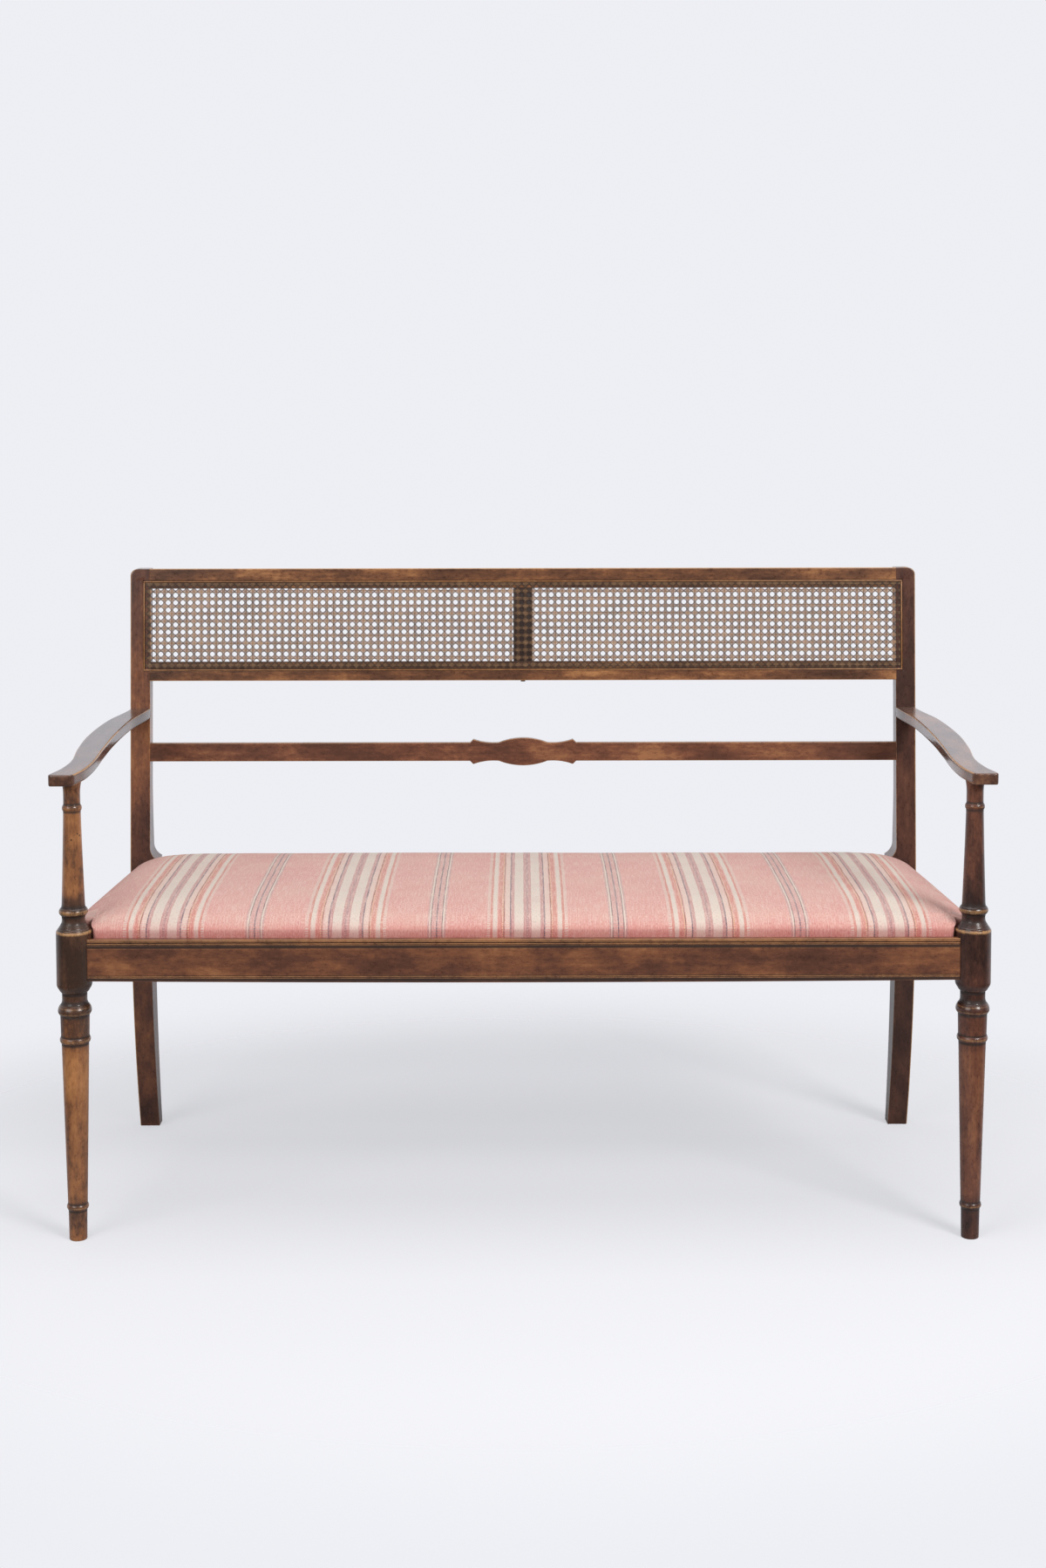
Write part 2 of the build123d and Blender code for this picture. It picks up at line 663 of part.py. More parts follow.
# Side rails
with BuildPart() as side_rail_right:
    front_end = axis_y + side_shoulder
    with BuildSketch(Plane.XY.offset(rail_bottom)):
        corners = [side_point(0, front_end), side_point(0, post_face_y),
                   side_point(rail_thickness, post_face_y), side_point(rail_thickness, front_end)]
        Polygon(*[(corner.X, corner.Y) for corner in corners], align=None)
    extrude(amount=rail_height)
    with BuildSketch(Plane.XY.offset(ledge_height)):
        near = axis_y - cut_overrun
        far = post_face_y + cut_overrun
        inside = rail_thickness + cut_overrun
        corners = [side_point(rail_lip_width, near), side_point(rail_lip_width, far),
                   side_point(inside, far), side_point(inside, near)]
        Polygon(*[(corner.X, corner.Y) for corner in corners], align=None)
    extrude(amount=rebate_depth + cut_overrun, mode=Mode.SUBTRACT)
    with BuildSketch(Plane.XY.offset(rail_bottom - cut_overrun)):
        with Locations((front_axis_x, axis_y)):
            Circle(block_radius + joint_gap)
    extrude(amount=rail_height + 2 * cut_overrun, mode=Mode.SUBTRACT)
    tenon(side_tenon_plane, tenon_thickness, tenon_height, front_tenon_length, rail_thickness)
    tenon(side_rear_plane, tenon_thickness, tenon_height, rear_tenon_length, rail_thickness)
    brace_screw_holes(joint_gap)
side_rail_right.part.label = "side_rail_right"
export_step(side_rail_right.part, "parts/side_rail_right.step")

with BuildPart() as side_rail_left:
    mirror(side_rail_right.part, about=Plane.YZ)
side_rail_left.part.label = "side_rail_left"
export_step(side_rail_left.part, "parts/side_rail_left.step")

# Rear rail
with BuildPart() as rear_rail:
    with BuildSketch(Plane.YZ.offset(-knee_inner_x)):
        with Locations(((rear_rail_front_y + knee_back_y) / 2, rail_middle)):
            Rectangle(rear_rail_thickness, rail_height)
        with Locations(((rear_rail_front_y - cut_overrun + rear_lip_y) / 2,
                        (ledge_height + rail_top + cut_overrun) / 2)):
            Rectangle(rear_lip_y - rear_rail_front_y + cut_overrun, rebate_depth + cut_overrun,
                      mode=Mode.SUBTRACT)
    extrude(amount=2 * knee_inner_x)
    tenon(rear_tenon_plane, tenon_thickness, tenon_height, rear_tenon_length, rail_thickness)
    brace_screw_holes(joint_gap)
    mirror(split(bisect_by=Plane.YZ, keep=Keep.TOP), about=Plane.YZ)
rear_rail.part.label = "rear_rail"
export_step(rear_rail.part, "parts/rear_rail.step")

# Crest rail and the lower rail of the cane frame
crest_depth = crest_thickness - back_tenon_cover
with BuildPart() as crest_rail:
    back_bar(opening_top, crest_top, 0, crest_thickness)
    fillet(crest_rail.faces().sort_by(Axis.Z)[-1].edges().filter_by(Axis.X), radius=rail_arris)
    cut_cane_bed()
    tenon(back_tenon_plane(opening_top, crest_top, crest_depth), back_tenon_thickness,
          crest_height - 2 * back_tenon_shoulder, back_tenon_length, back_tenon_length)
    mirror(split(bisect_by=Plane.YZ, keep=Keep.TOP), about=Plane.YZ)
    with BuildSketch(back_plane.offset(-muntin_tenon_depth - muntin_tenon_thickness / 2 - joint_gap)):
        socket_length = muntin_tenon_length + mortise_end_gap
        with Locations((0, opening_top + (socket_length - cut_overrun) / 2)):
            Rectangle(muntin_tenon_width + 2 * joint_gap, socket_length + cut_overrun)
    extrude(amount=muntin_tenon_thickness + 2 * joint_gap, mode=Mode.SUBTRACT)
crest_rail.part.label = "crest_rail"
export_step(crest_rail.part, "parts/crest_rail.step")

with BuildPart() as lower_cane_rail:
    back_bar(lower_rail_bottom, opening_bottom, 0, crest_thickness)
    fillet(lower_cane_rail.faces().sort_by(Axis.Z)[0].edges().filter_by(Axis.X), radius=rail_arris)
    cut_cane_bed()
    tenon(back_tenon_plane(lower_rail_bottom, opening_bottom, crest_depth), back_tenon_thickness,
          lower_rail_height - 2 * back_tenon_shoulder, back_tenon_length, back_tenon_length)
    mirror(split(bisect_by=Plane.YZ, keep=Keep.TOP), about=Plane.YZ)
    with BuildSketch(back_plane.offset(-muntin_tenon_depth - muntin_tenon_thickness / 2 - joint_gap)):
        with Locations((0, (lower_rail_bottom + opening_bottom) / 2)):
            Rectangle(muntin_tenon_width + 2 * joint_gap, lower_rail_height + 2 * cut_overrun)
    extrude(amount=muntin_tenon_thickness + 2 * joint_gap, mode=Mode.SUBTRACT)
lower_cane_rail.part.label = "lower_cane_rail"
export_step(lower_cane_rail.part, "parts/lower_cane_rail.step")

# Muntin behind the middle of the cane, with a stub tenon above and a through tenon below
with BuildPart() as cane_muntin:
    with BuildSketch(back_plane.offset(-muntin_front)):
        with Locations((0, opening_middle)):
            Rectangle(muntin_width, cane_opening_height)
    extrude(amount=-muntin_thickness)
    with BuildSketch(back_plane.offset(-muntin_tenon_depth - muntin_tenon_thickness / 2)):
        tenon_low = lower_rail_bottom - muntin_tenon_stub
        tenon_high = opening_top + muntin_tenon_length
        with Locations((0, (tenon_low + tenon_high) / 2)):
            Rectangle(muntin_tenon_width, tenon_high - tenon_low)
    extrude(amount=muntin_tenon_thickness)
cane_muntin.part.label = "cane_muntin"
export_step(cane_muntin.part, "parts/cane_muntin.step")

# Cane sheet: a flat net over the bed with its edge turned down into the groove
with BuildPart() as cane_sheet:
    net_half_width = bed_half_width - groove_width + cane_thickness
    net_height = bed_height - 2 * (groove_width - cane_thickness)
    with BuildSketch(back_plane.offset(-cane_bed_depth)):
        with Locations((0, bed_middle)):
            Rectangle(2 * net_half_width, net_height)
        with Locations((0, opening_middle)):
            with GridLocations(2 * post_inner_x / cane_columns, cane_opening_height / cane_rows,
                               cane_columns, cane_rows):
                Rectangle(2 * post_inner_x / cane_columns - cane_strand_width,
                          cane_opening_height / cane_rows - cane_strand_width, mode=Mode.SUBTRACT)
    extrude(amount=cane_thickness)
    with BuildSketch(back_plane.offset(-cane_bed_depth - cane_hem_depth)):
        with Locations((0, bed_middle)):
            Rectangle(2 * net_half_width, net_height)
            Rectangle(2 * (net_half_width - cane_thickness), net_height - 2 * cane_thickness,
                      mode=Mode.SUBTRACT)
    extrude(amount=cane_hem_depth + cane_thickness)
cane_sheet.part.label = "cane_sheet"
export_step(cane_sheet.part, "parts/cane_sheet.step")

# Splines wedged in the groove beside the turned-down cane
spline_width = groove_width - cane_thickness - 2 * joint_gap
spline_centre = bed_half_width - joint_gap - spline_width / 2
spline_rise = bed_height / 2 - joint_gap - spline_width / 2
spline_depth = groove_depth - mortise_end_gap
long_spline = 2 * (bed_half_width - joint_gap)
short_spline = 2 * spline_rise - spline_width - 2 * joint_gap


def spline_strip(width, height, x, y):
    """Adds a strip of spline in the groove, standing a little proud of the face."""
    with BuildSketch(back_plane.offset(-spline_depth)) as section:
        with Locations((x, y)):
            Rectangle(width, height)
    extrude(section.sketch, amount=spline_depth + spline_proud)


for name, width, height, x, y in (
        ("spline_top", long_spline, spline_width, 0, bed_middle + spline_rise),
        ("spline_bottom", long_spline, spline_width, 0, bed_middle - spline_rise),
        ("spline_left", spline_width, short_spline, -spline_centre, bed_middle),
        ("spline_right", spline_width, short_spline, spline_centre, bed_middle)):
    with BuildPart() as spline:
        spline_strip(width, height, x, y)
        front_face = spline.faces().sort_by(Axis(back_plane.origin, back_plane.z_dir))[-1]
        long_axis = Axis.X if width > height else Axis(back_plane.origin, back_plane.y_dir)
        fillet(front_face.edges().filter_by(long_axis), radius=spline_round)
    spline.part.label = name
    export_step(spline.part, "parts/" + name + ".step")

# Stay rail with its lens-shaped tablet
with BuildPart() as stay_rail:
    stay_middle = stay_rail_rise + stay_rail_height / 2
    half_height = stay_rail_height / 2
    with BuildSketch(back_plane.offset(-stay_rail_setback)):
        with BuildLine():
            for side in (-1, 1):
                edge = stay_middle + side * half_height
                tip = edge + side * tablet_tip_rise
                hollow = edge - side * tablet_hollow_depth
                Line((-post_inner_x, edge), (-tablet_tip_foot, edge))
                Line((-tablet_tip_foot, edge), (-tablet_tip_reach, tip))
                ThreePointArc((-tablet_tip_reach, tip), (-tablet_hollow_reach, hollow),
                              (-tablet_half_length, edge))
                ThreePointArc((-tablet_half_length, edge), (0, stay_middle + side * tablet_half_height),
                              (tablet_half_length, edge))
                ThreePointArc((tablet_half_length, edge), (tablet_hollow_reach, hollow),
                              (tablet_tip_reach, tip))
                Line((tablet_tip_reach, tip), (tablet_tip_foot, edge))
                Line((tablet_tip_foot, edge), (post_inner_x, edge))
                Line((side * post_inner_x, stay_middle - half_height),
                     (side * post_inner_x, stay_middle + half_height))
        make_face()
    extrude(amount=-stay_rail_thickness)
    tenon(back_tenon_plane(stay_rail_rise, stay_rail_rise + stay_rail_height,
                           stay_rail_setback + stay_rail_thickness / 2), back_tenon_thickness,
          stay_rail_height - 2 * back_tenon_shoulder, back_tenon_length, back_tenon_length)
    mirror(split(bisect_by=Plane.YZ, keep=Keep.TOP), about=Plane.YZ)
stay_rail.part.label = "stay_rail"
export_step(stay_rail.part, "parts/stay_rail.step")

# Arms
with BuildPart() as arm_right:
    outer_edge = [arm_point(*shares, 1) for shares in arm_shares]
    inner_edge = [arm_point(*shares, -1) for shares in arm_shares]
    with BuildSketch(arm_plane):
        with BuildLine():
            Spline(*outer_edge, tangents=((0, -1), (0, -1)), tangent_scalars=(1, 1))
            Line(outer_edge[-1], inner_edge[-1])
            Spline(*reversed(inner_edge), tangents=((0, 1), (0, 1)), tangent_scalars=(1, 1))
            Polyline(inner_edge[0], (inner_edge[0][0], arm_thickness), (outer_edge[0][0], arm_thickness),
                     outer_edge[0])
        make_face()
        fillet(vertices().sort_by(Axis.Y)[:2], radius=arm_nose_radius)
    extrude(amount=-arm_thickness)
    long_edges = arm_right.edges().filter_by(Axis(arm_plane.origin, arm_plane.z_dir), reverse=True)
    chamfer(long_edges.filter_by(lambda edge: edge.center().Y < post_face_y), length=arm_arris)
    split(bisect_by=back_plane.offset(joint_gap), keep=Keep.TOP)
    with BuildSketch(Plane.XY.offset(support_height - cut_overrun)):
        with Locations((front_axis_x, axis_y)):
            Circle(pin_radius + joint_gap)
    extrude(amount=cut_overrun + pin_length + mortise_end_gap, mode=Mode.SUBTRACT)
    with BuildSketch(dowel_plane.offset(cut_overrun)):
        with Locations(*arm_dowel_places()):
            Circle(arm_dowel_radius + joint_gap)
    extrude(amount=-cut_overrun - arm_dowel_length / 2 - mortise_end_gap, mode=Mode.SUBTRACT)
arm_right.part.label = "arm_right"
export_step(arm_right.part, "parts/arm_right.step")

with BuildPart() as arm_left:
    mirror(arm_right.part, about=Plane.YZ)
arm_left.part.label = "arm_left"
export_step(arm_left.part, "parts/arm_left.step")

# Dowels that join the arms to the back posts
with BuildPart() as arm_dowels:
    with BuildSketch(dowel_plane.offset(-arm_dowel_length / 2)):
        with Locations(*arm_dowel_places()):
            RegularPolygon(arm_dowel_radius, arm_dowel_sides)
    extrude(amount=arm_dowel_length)
    mirror(about=Plane.YZ)
arm_dowels.part.label = "arm_dowels"
export_step(arm_dowels.part, "parts/arm_dowels.step")

# Corner braces
brace_right_parts = []
for corner, run, near in ((front_corner, side_run, brace_front_near),
                          (rear_corner, side_run * -1, brace_rear_near)):
    with BuildPart() as brace_right:
        far = near + brace_width
        points = (corner + run * near, corner + run * far,
                  corner + cross_run * far, corner + cross_run * near)
        with BuildSketch(Plane.XY.offset(brace_bottom)):
            Polygon(*[(point.X, point.Y) for point in points], align=None)
        extrude(amount=brace_top - brace_bottom)
        brace_screw_holes(joint_gap)
    brace_right_parts.append(brace_right.part)

for place, brace_right_part in zip(("front", "rear"), brace_right_parts):
    with BuildPart() as brace:
        add(brace_right_part)
    brace.part.label = "corner_brace_" + place + "_right"
    export_step(brace.part, "parts/corner_brace_" + place + "_right.step")
    with BuildPart() as brace:
        mirror(brace_right_part, about=Plane.YZ)
    brace.part.label = "corner_brace_" + place + "_left"
    export_step(brace.part, "parts/corner_brace_" + place + "_left.step")

with BuildPart() as brace_screws:
    for place in brace_screw_planes():
        with BuildSketch(place.offset(-screw_bite)):
            RegularPolygon(screw_radius, screw_sides)
        extrude(amount=screw_bite + screw_stand - screw_head_height)
        with BuildSketch(place.offset(screw_stand - screw_head_height)):
            RegularPolygon(screw_head_radius, screw_sides)
        extrude(amount=screw_head_height)
    mirror(about=Plane.YZ)
brace_screws.part.label = "brace_screws"
export_step(brace_screws.part, "parts/brace_screws.step")

# Frame of the drop-in seat
with BuildPart() as seat_frame_front:
    seat_member(seat_front_y, member_front_y, -side_member_out - seat_member_width,
                side_member_out + seat_member_width)
    for x in (-side_member_x, 0, side_member_x):
        mortise(Plane(origin=(x, member_front_y, seat_frame_middle), x_dir=(1, 0, 0), z_dir=(0, -1, 0)),
                seat_tenon_width, seat_tenon_thickness, seat_tenon_length)
seat_frame_front.part.label = "seat_frame_front"
export_step(seat_frame_front.part, "parts/seat_frame_front.step")

with BuildPart() as seat_frame_back:
    seat_member(member_rear_y, seat_rear_y, -side_member_out - seat_member_width,
                side_member_out + seat_member_width)
    for x in (-side_member_x, 0, side_member_x):
        mortise(Plane(origin=(x, member_rear_y, seat_frame_middle), x_dir=(1, 0, 0), z_dir=(0, 1, 0)),
                seat_tenon_width, seat_tenon_thickness, seat_tenon_length)
seat_frame_back.part.label = "seat_frame_back"
export_step(seat_frame_back.part, "parts/seat_frame_back.step")

with BuildPart() as seat_frame_right:
    seat_member(member_front_y, member_rear_y, side_member_in, side_member_out + seat_member_width)
    for plane in seat_tenon_planes(side_member_x):
        tenon(plane, seat_tenon_width, seat_tenon_thickness, seat_tenon_length, seat_tenon_length)
seat_frame_right.part.label = "seat_frame_right"
export_step(seat_frame_right.part, "parts/seat_frame_right.step")

with BuildPart() as seat_frame_left:
    mirror(seat_frame_right.part, about=Plane.YZ)
seat_frame_left.part.label = "seat_frame_left"
export_step(seat_frame_left.part, "parts/seat_frame_left.step")

with BuildPart() as seat_frame_brace:
    with BuildSketch(Plane.XY.offset(seat_frame_middle - seat_brace_thickness / 2)):
        with Locations((0, (member_front_y + member_rear_y) / 2)):
            Rectangle(seat_brace_width, member_rear_y - member_front_y)
    extrude(amount=seat_brace_thickness)
    for plane in seat_tenon_planes(0):
        tenon(plane, seat_tenon_width, seat_tenon_thickness, seat_tenon_length, seat_tenon_length)
seat_frame_brace.part.label = "seat_frame_brace"
export_step(seat_frame_brace.part, "parts/seat_frame_brace.step")

# Webbing, hessian and undercloth
with BuildPart() as seat_webbing:
    pad_middle_y = (seat_front_y + seat_rear_y) / 2
    with BuildSketch(Plane.XY.offset(seat_frame_top)):
        with Locations((0, (member_front_y + member_rear_y) / 2)):
            with GridLocations(0, webbing_run_pitch, 1, long_straps):
                Rectangle(2 * (side_member_out - webbing_end_inset), webbing_width)
    extrude(amount=webbing_thickness)
    with BuildSketch(Plane.XY.offset(seat_frame_top + webbing_thickness)):
        with Locations((0, pad_middle_y)):
            with GridLocations(webbing_cross_pitch, 0, cross_straps, 1):
                Rectangle(webbing_width, seat_rear_y - seat_front_y - 2 * webbing_end_inset)
    extrude(amount=webbing_thickness)
seat_webbing.part.label = "seat_webbing"
export_step(seat_webbing.part, "parts/seat_webbing.step")

with BuildPart() as seat_hessian:
    seat_slab(hessian_inset, hessian_bottom, hessian_thickness)
seat_hessian.part.label = "seat_hessian"
export_step(seat_hessian.part, "parts/seat_hessian.step")

with BuildPart() as seat_undercloth:
    seat_slab(cover_hem_width + layer_gap, seat_frame_bottom - undercloth_thickness, undercloth_thickness)
seat_undercloth.part.label = "seat_undercloth"
export_step(seat_undercloth.part, "parts/seat_undercloth.step")

# Crowned stuffing, and the cover drawn over it with its margin turned under the frame
with BuildPart() as seat_stuffing:
    pad(frame_inset, hessian_top)
seat_stuffing.part.label = "seat_stuffing"
export_step(seat_stuffing.part, "parts/seat_stuffing.step")

with BuildPart() as seat_hollow:
    pad(cover_thickness, seat_hem_top)

with BuildPart() as seat_cover:
    pad(0, seat_base)
    add(seat_hollow.part, mode=Mode.SUBTRACT)
    with BuildSketch(Plane.XY.offset(seat_base - cut_overrun)):
        seat_plan(cover_hem_width)
    extrude(amount=cut_overrun + cover_thickness + joint_gap, mode=Mode.SUBTRACT)
seat_cover.part.label = "seat_cover"
export_step(seat_cover.part, "parts/seat_cover.step")
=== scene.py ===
"""Looks for a settee with a caned back, open arms and a striped drop-in seat.

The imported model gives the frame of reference. Each class below builds one group of visible pieces in
metres around it: X along the seat, -Y to the front, Z up, with the origin on the floor. Lengths are in
millimetres until a piece is placed; materials and the studio count in metres.
"""

import logging
import math
from dataclasses import dataclass, field
from enum import Enum
from typing import Callable, Dict, Iterable, Iterator, List, Optional, Sequence, Tuple, Union

import bmesh
import bpy
from mathutils import Euler, Matrix, Vector
from mathutils import noise as mnoise

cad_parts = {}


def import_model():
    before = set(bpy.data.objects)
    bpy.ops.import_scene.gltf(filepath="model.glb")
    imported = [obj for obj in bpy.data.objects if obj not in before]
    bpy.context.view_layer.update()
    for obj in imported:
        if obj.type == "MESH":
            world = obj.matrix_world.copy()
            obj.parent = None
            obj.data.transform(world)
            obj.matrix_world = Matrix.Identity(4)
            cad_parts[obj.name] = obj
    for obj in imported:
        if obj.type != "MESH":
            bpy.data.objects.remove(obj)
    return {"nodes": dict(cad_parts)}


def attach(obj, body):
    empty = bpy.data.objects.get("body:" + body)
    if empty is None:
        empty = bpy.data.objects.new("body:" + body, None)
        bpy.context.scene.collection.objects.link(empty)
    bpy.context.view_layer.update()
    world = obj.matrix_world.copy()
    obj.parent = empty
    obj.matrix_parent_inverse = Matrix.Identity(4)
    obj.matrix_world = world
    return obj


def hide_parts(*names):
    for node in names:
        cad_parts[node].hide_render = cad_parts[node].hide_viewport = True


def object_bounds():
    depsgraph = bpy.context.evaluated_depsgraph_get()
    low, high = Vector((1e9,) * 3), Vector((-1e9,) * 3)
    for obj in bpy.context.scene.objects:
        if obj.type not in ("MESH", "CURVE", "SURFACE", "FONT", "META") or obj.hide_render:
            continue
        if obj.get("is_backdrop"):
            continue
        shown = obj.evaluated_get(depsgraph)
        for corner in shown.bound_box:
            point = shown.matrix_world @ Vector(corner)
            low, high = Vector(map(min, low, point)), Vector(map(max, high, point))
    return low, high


LOG = logging.getLogger("settee")
MM = 0.001
Colour = Tuple[float, float, float]
Pair = Tuple[float, float]
Ring = List[Tuple[Vector, float]]


class Body(str, Enum):
    """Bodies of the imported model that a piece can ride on."""

    FRAME = "frame"
    SEAT = "seat"


class Slot(str, Enum):
    """Material slots of the record, passed along with the pieces built here but not used by them."""

    POLISHED_WOOD = "polished_wood"
    SPLINE = "spline_cane"
    CANE = "woven_cane"
    FABRIC = "striped_fabric"


class Side(Enum):
    """Left and right of the settee, seen from the front."""

    LEFT = -1
    RIGHT = 1

    @property
    def word(self) -> str:
        """Lower-case name used in node names."""
        return self.name.lower()


# Sizes


@dataclass(frozen=True)
class Sizes:
    """Sizes of the settee in millimetres; depths are counted back from the axes of the front posts."""

    axis_y: float = -238.5
    front_axis_x: float = 620.0
    back_outer_x: float = 617.0
    post_width: float = 31.0
    post_face: float = 418.0
    post_depth: float = 28.0
    knee_depth: float = 46.0
    knee_in: float = 12.0
    foot_kick: float = 60.0
    foot_depth: float = 27.0
    back_angle: float = 4.4
    top: float = 900.0
    rail_top: float = 424.0
    rail_bottom: float = 366.0
    rail_thickness: float = 26.0
    lip: float = 10.0
    ledge: float = 412.0
    block_radius: float = 24.3
    cane_groove: float = 5.0
    cane_bed: float = 1.4
    arm_slope: float = 27.1 / 465.8

    def y(self, depth: float) -> float:
        """World Y in millimetres of a depth behind the front axes."""
        return self.axis_y + depth

    @property
    def post_inner_x(self) -> float:
        """Inner face of a back post above its knee."""
        return self.back_outer_x - self.post_width

    @property
    def knee_x(self) -> float:
        """Inner face of a back post at its knee."""
        return self.post_inner_x - self.knee_in

    @property
    def rake(self) -> float:
        """Angle of the back in radians."""
        return math.radians(self.back_angle)

    def side_x(self, inset: float, y: float) -> float:
        """World X of a line beside the right side rail.

        Args:
            inset: distance of the line inside the rail's outer face.
            y: world Y at which it is met.
        """
        start = Vector((self.front_axis_x + self.block_radius, self.axis_y))
        end = Vector((self.back_outer_x, self.y(self.post_face)))
        run = (end - start).normalized()
        base = start + Vector((-run.y, run.x)) * inset
        return base.x + run.x * (y - base.y) / run.y

    def back_matrix(self) -> Matrix:
        """Turns (x, distance up the back, depth behind its face), in millimetres, into world metres."""
        s, c = math.sin(self.rake), math.cos(self.rake)
        turn = Matrix(((1, 0, 0), (0, s, c), (0, c, -s))).to_4x4()
        move = Matrix.Translation((0, self.y(self.post_face), self.rail_top))
        return Matrix.Scale(MM, 4) @ move @ turn


SIZES = Sizes()


# Numbers


def even(low: float, high: float, steps: int) -> List[float]:
    """Evenly spaced numbers from low to high."""
    return [low + (high - low) * i / steps for i in range(steps + 1)]


def held(value: float, low: float = 0.0, high: float = 1.0) -> float:
    """A number held between two others."""
    return max(low, min(high, value))


def hermite(start: float, end: float, leave: float, arrive: float, t: float) -> float:
    """Value at a share of a span.

    Args:
        start: value where the span begins.
        end: value where it ends.
        leave: slope at its beginning, over the whole span.
        arrive: slope at its end, over the whole span.
        t: share of the span.
    """
    return ((2 * t ** 3 - 3 * t ** 2 + 1) * start + (t ** 3 - 2 * t ** 2 + t) * leave
            + (3 * t ** 2 - 2 * t ** 3) * end + (t ** 3 - t ** 2) * arrive)


def quarter(radius: float, left: float) -> float:
    """How far a quarter round draws in at a distance from its end."""
    return radius - math.sqrt(max(0.0, radius * radius - (radius - left) ** 2)) if left < radius else 0.0


# Mesh building


@dataclass(frozen=True)
class Corner:
    """One corner of a cross-section: its place, its rounding, how worn it is and how far that spreads; wear
    below zero darkens, partly as painted shade under the cane.
    """

    u: float
    v: float
    radius: float = 0.0
    wear: float = 1.0
    spread: float = 0.0


@dataclass(frozen=True)
class RingPoint:
    """One point of a cross-section with its wear: positive is rubbed bright, negative is darker, in hollows and
    as painted shade under the cane.
    """

    u: float
    v: float
    wear: float = 0.0


def rounded(corners: Sequence[Corner], segments: int = 3, support: float = 2.0) -> List[RingPoint]:
    """Rounds the corners of a polygon.

    Args:
        corners: the polygon's corners in order.
        segments: straight pieces in each rounded corner.
        support: distance beyond the rounding over which wear fades out, in millimetres.

    Returns:
        The points of the closed cross-section; every corner gives the same number of points.
    """
    points: List[RingPoint] = []
    for index, corner in enumerate(corners):
        before, after = corners[index - 1], corners[(index + 1) % len(corners)]
        here = Vector((corner.u, corner.v))
        into = here - Vector((before.u, before.v))
        out = Vector((after.u, after.v)) - here
        reach = min(into.length, out.length)
        into_dir = into.normalized() if into.length else Vector((1, 0))
        out_dir = out.normalized() if out.length else Vector((0, 1))
        bend = into_dir.angle(out_dir, 0.0)
        back = min(corner.radius * math.tan(bend / 2), reach * 0.42) if bend > 1e-4 else 0.0
        fade = min(support, (reach - 2 * back) * 0.45) if reach > 2 * back else 0.0
        start, end = here - into_dir * back, here + out_dir * back
        lead, tail = start - into_dir * fade, end + out_dir * fade
        points.append(RingPoint(lead.x, lead.y, corner.wear * corner.spread))
        for step in range(segments + 1):
            t = step / segments
            p = start.lerp(here, t).lerp(here.lerp(end, t), t)
            bare = math.sin(math.pi * t) if corner.wear > 0 and corner.radius > 0 else 1.0
            points.append(RingPoint(p.x, p.y, corner.wear * bare))
        points.append(RingPoint(tail.x, tail.y, corner.wear * corner.spread))
    return points


def crosswise(section: Sequence[RingPoint], x: float) -> Ring:
    """A cross-section set up at a place along the local X axis."""
    return [(Vector((x, p.u, p.v)), p.wear) for p in section]


def closed_pairs(verts: List[bmesh.types.BMVert]) -> List[Tuple[bmesh.types.BMVert, bmesh.types.BMVert]]:
    """Each point of a closed ring with the next one."""
    return list(zip(verts, verts[1:] + verts[:1]))


def dedupe(bm: bmesh.types.BMesh, distance: float) -> None:
    """Merges doubled points, drops flat scraps and turns every face outwards."""
    bmesh.ops.remove_doubles(bm, verts=bm.verts, dist=distance)
    bmesh.ops.dissolve_degenerate(bm, dist=distance, edges=bm.edges)
    bmesh.ops.recalc_face_normals(bm, faces=bm.faces)


